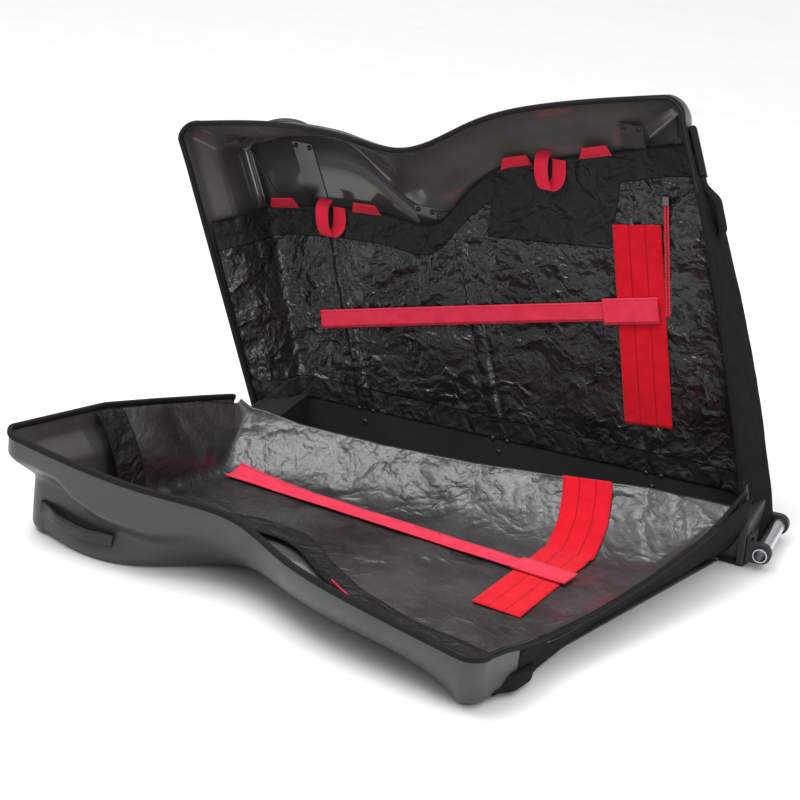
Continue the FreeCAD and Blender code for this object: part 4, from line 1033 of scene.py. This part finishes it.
# Piping along the seams
def seam_line(front):
    x = np.linspace(-HALF, HALF, 60)
    return np.c_[x, hinge_half(x) * (-1 if front else 1), hinge_height(x)] * MM


for is_front, node_name in ((False, "back_seam_piping"), (True, "hinge_piping")):
    piping = tube(node_name + "_cord", seam_line(is_front), 3.6 * MM, 12)
    piece(piping, "base", binding_cloth, "black_fabric", [node_name])


# Grips, and the height and station of the wall that they sit on
END_DEPTH = 110.0
END_START = SEAM - 20


def wall_v(x, w, front):
    row = ring(w / depth(x), 0.0, front)[COUNTS["side"] : SEAM]
    return float(np.interp(x, row[:, 0], row[:, 2]))


def wall_x(w, v, front):
    row = ring(w / END_DEPTH, 0.0, front)[END_START:]
    return float(np.interp(-v, -row[:, 2], row[:, 0]))


def grip(name, path, out, rises, widths, thicknesses, front):
    path = np.asarray(path, float) + np.asarray(out, float) * np.asarray(rises, float)[:, None]
    points = world(path, front)
    side = unit(world(path + (0, 1, 0), front) - points)
    up = unit(np.cross(side, unit(np.gradient(points, axis=0))))
    return sweep(name, points, side, up, np.asarray(widths) * MM, np.asarray(thicknesses) * MM, 3.2, 20)


# Along a grip: a hump with a flat top, and an arch
GRIP_STEPS = 60
grip_share = np.linspace(0, 1, GRIP_STEPS)
hump = ramp(0.1, 0.34, grip_share) * (1 - ramp(0.66, 0.9, grip_share))
arch = np.sin(math.pi * grip_share) ** 1.3
GRIP_STAND = 4
# First and last station, depth and rise of the carry grips
TOP_GRIPS = {False: (-640, -470, 128, 19), True: (-646, -478, 142, 15)}
# Middle height, length, depth, rise, draw-in and half width of the end handles
END_GRIPS = {False: (632, 142, 46, 19, 0, 15), True: (716, 130, 80, 11, 8, 17)}
for is_front in (False, True):
    side_name = sides[is_front]
    first, last, grip_w, rise = TOP_GRIPS[is_front]
    path = [(a, grip_w, wall_v(a, grip_w, is_front)) for a in np.linspace(first, last, GRIP_STEPS)]
    wave = 1.5 * np.sin(3 * math.pi * grip_share) * is_front
    top = grip(
        side_name + "_carry_grip", path, (0, 0, 1),
        GRIP_STAND + rise * arch + wave * hump, 13 - 2 * hump, 3 + 3 * hump, is_front,
    )
    piece(top, bodies[is_front], grip_black, "grip_rubber", [side_name + "_top_grip"])
    middle, length, grip_w, rise, drawn_in, half = END_GRIPS[is_front]
    v = np.linspace(middle - length / 2, middle + length / 2, GRIP_STEPS)
    path = [(wall_x(grip_w, a, is_front) - drawn_in, grip_w, a) for a in v]
    end = grip(
        side_name + "_end_handle", path, (1, 0, 0),
        GRIP_STAND + rise * hump, half, 3 + 4 * hump, is_front,
    )
    piece(end, bodies[is_front], nylon, "grip_rubber", [side_name + "_end_grip"])

# Looks of the hard pieces that show as they are
LOOKS = {
    tub_black: "base_tub wheel_housing",
    boot_black: "handle_end_boot near_tube_bracket far_tube_bracket",
    tube_silver: "pull_tube",
    stay_grey: "left_stay middle_stay right_stay",
    rivet_black: "base_rivets stay_rivets bracket_bolts",
    tyre_black: "front_wheel_tyre back_wheel_tyre",
    hub_grey: "front_wheel_hub back_wheel_hub",
    steel: "front_wheel_bearings back_wheel_bearings wheel_axle axle_nuts",
    zip_dark: "zip_slider zip_puller pocket_zip_slider",
}
for look, names in LOOKS.items():
    for name in names.split():
        data = frame["nodes"][name].data
        data.materials.clear()
        data.materials.append(look)


# Camera, floor and light. The camera's angles are yaw, pitch and roll in degrees.
CAMERA_ANGLES = (-18.507, -20.593, 5.182)
CAMERA_PLACE = (1.22705, -4.29505, 1.85603)
CAMERA_LENS = 108.86
CAMERA_SENSOR = 36
FLOOR_HALF, FLOOR_Z = 30, -0.001


def camera():
    yaw, pitch, roll = (math.radians(a) for a in CAMERA_ANGLES)
    ahead = Vector((math.sin(yaw) * math.cos(pitch), math.cos(yaw) * math.cos(pitch), math.sin(pitch)))
    right = Vector((math.cos(yaw), -math.sin(yaw), 0))
    up = right.cross(ahead)
    rolled_right = right * math.cos(roll) + up * math.sin(roll)
    rolled_up = up * math.cos(roll) - right * math.sin(roll)
    axes = (rolled_right, rolled_up, -ahead)
    data = bpy.data.cameras.new("camera")
    obj = bpy.data.objects.new("camera", data)
    bpy.context.collection.objects.link(obj)
    place = Matrix(axes).transposed().to_4x4()
    place.translation = CAMERA_PLACE
    obj.matrix_world = place
    data.sensor_fit = "HORIZONTAL"
    data.sensor_width = CAMERA_SENSOR
    data.lens = CAMERA_LENS
    data.clip_end = 60
    bpy.context.scene.camera = obj


def softbox(name, place, target, size, power):
    data = bpy.data.lights.new(name, "AREA")
    data.shape = "RECTANGLE"
    data.size, data.size_y = size
    data.energy = power
    obj = bpy.data.objects.new(name, data)
    bpy.context.collection.objects.link(obj)
    obj.location = place
    obj.rotation_euler = (Vector(target) - Vector(place)).to_track_quat("-Z", "Y").to_euler()


camera()
FLOOR_CORNERS = ((-1, -1), (1, -1), (1, 1), (-1, 1))
floor_points = [(x * FLOOR_HALF, y * FLOOR_HALF, FLOOR_Z) for x, y in FLOOR_CORNERS]
floor = mesh("floor", floor_points, [(0, 1, 2, 3)], False)
pale = plastic("pale_floor", (0.9, 0.9, 0.9), (0.92, 0.92, 0.92), 0.6, 0.02)
floor.data.materials.append(pale)
sky = bpy.data.worlds.new("studio")
sky.use_nodes = True
bpy.context.scene.world = sky
tree = sky.node_tree
height = node(tree, "SeparateXYZ", {"Vector": node(tree, "TexCoord").outputs["Generated"]}).outputs["Z"]
glow = colours(tree, height, (0.0, (0.4, 0.4, 0.41)), (0.3, (0.52, 0.52, 0.53)), (0.8, (1.0, 1.0, 1.0)))
tree.links.new(glow, tree.nodes["Background"].inputs["Color"])
tree.nodes["Background"].inputs["Strength"].default_value = 0.8
softbox("key", (-1.2, -1.0, 3.2), (0, -0.1, 0.2), (2.4, 1.8), 75)
softbox("fill", (2.4, -2.6, 2.2), (0, 0, 0.3), (1.4, 1.8), 30)
sun = bpy.data.objects.new("sky_glow", bpy.data.lights.new("sky_glow", "SUN"))
sun.data.energy = 1.05
sun.data.angle = 1.5
bpy.context.collection.objects.link(sun)
bpy.context.scene.view_settings.view_transform = "Standard"
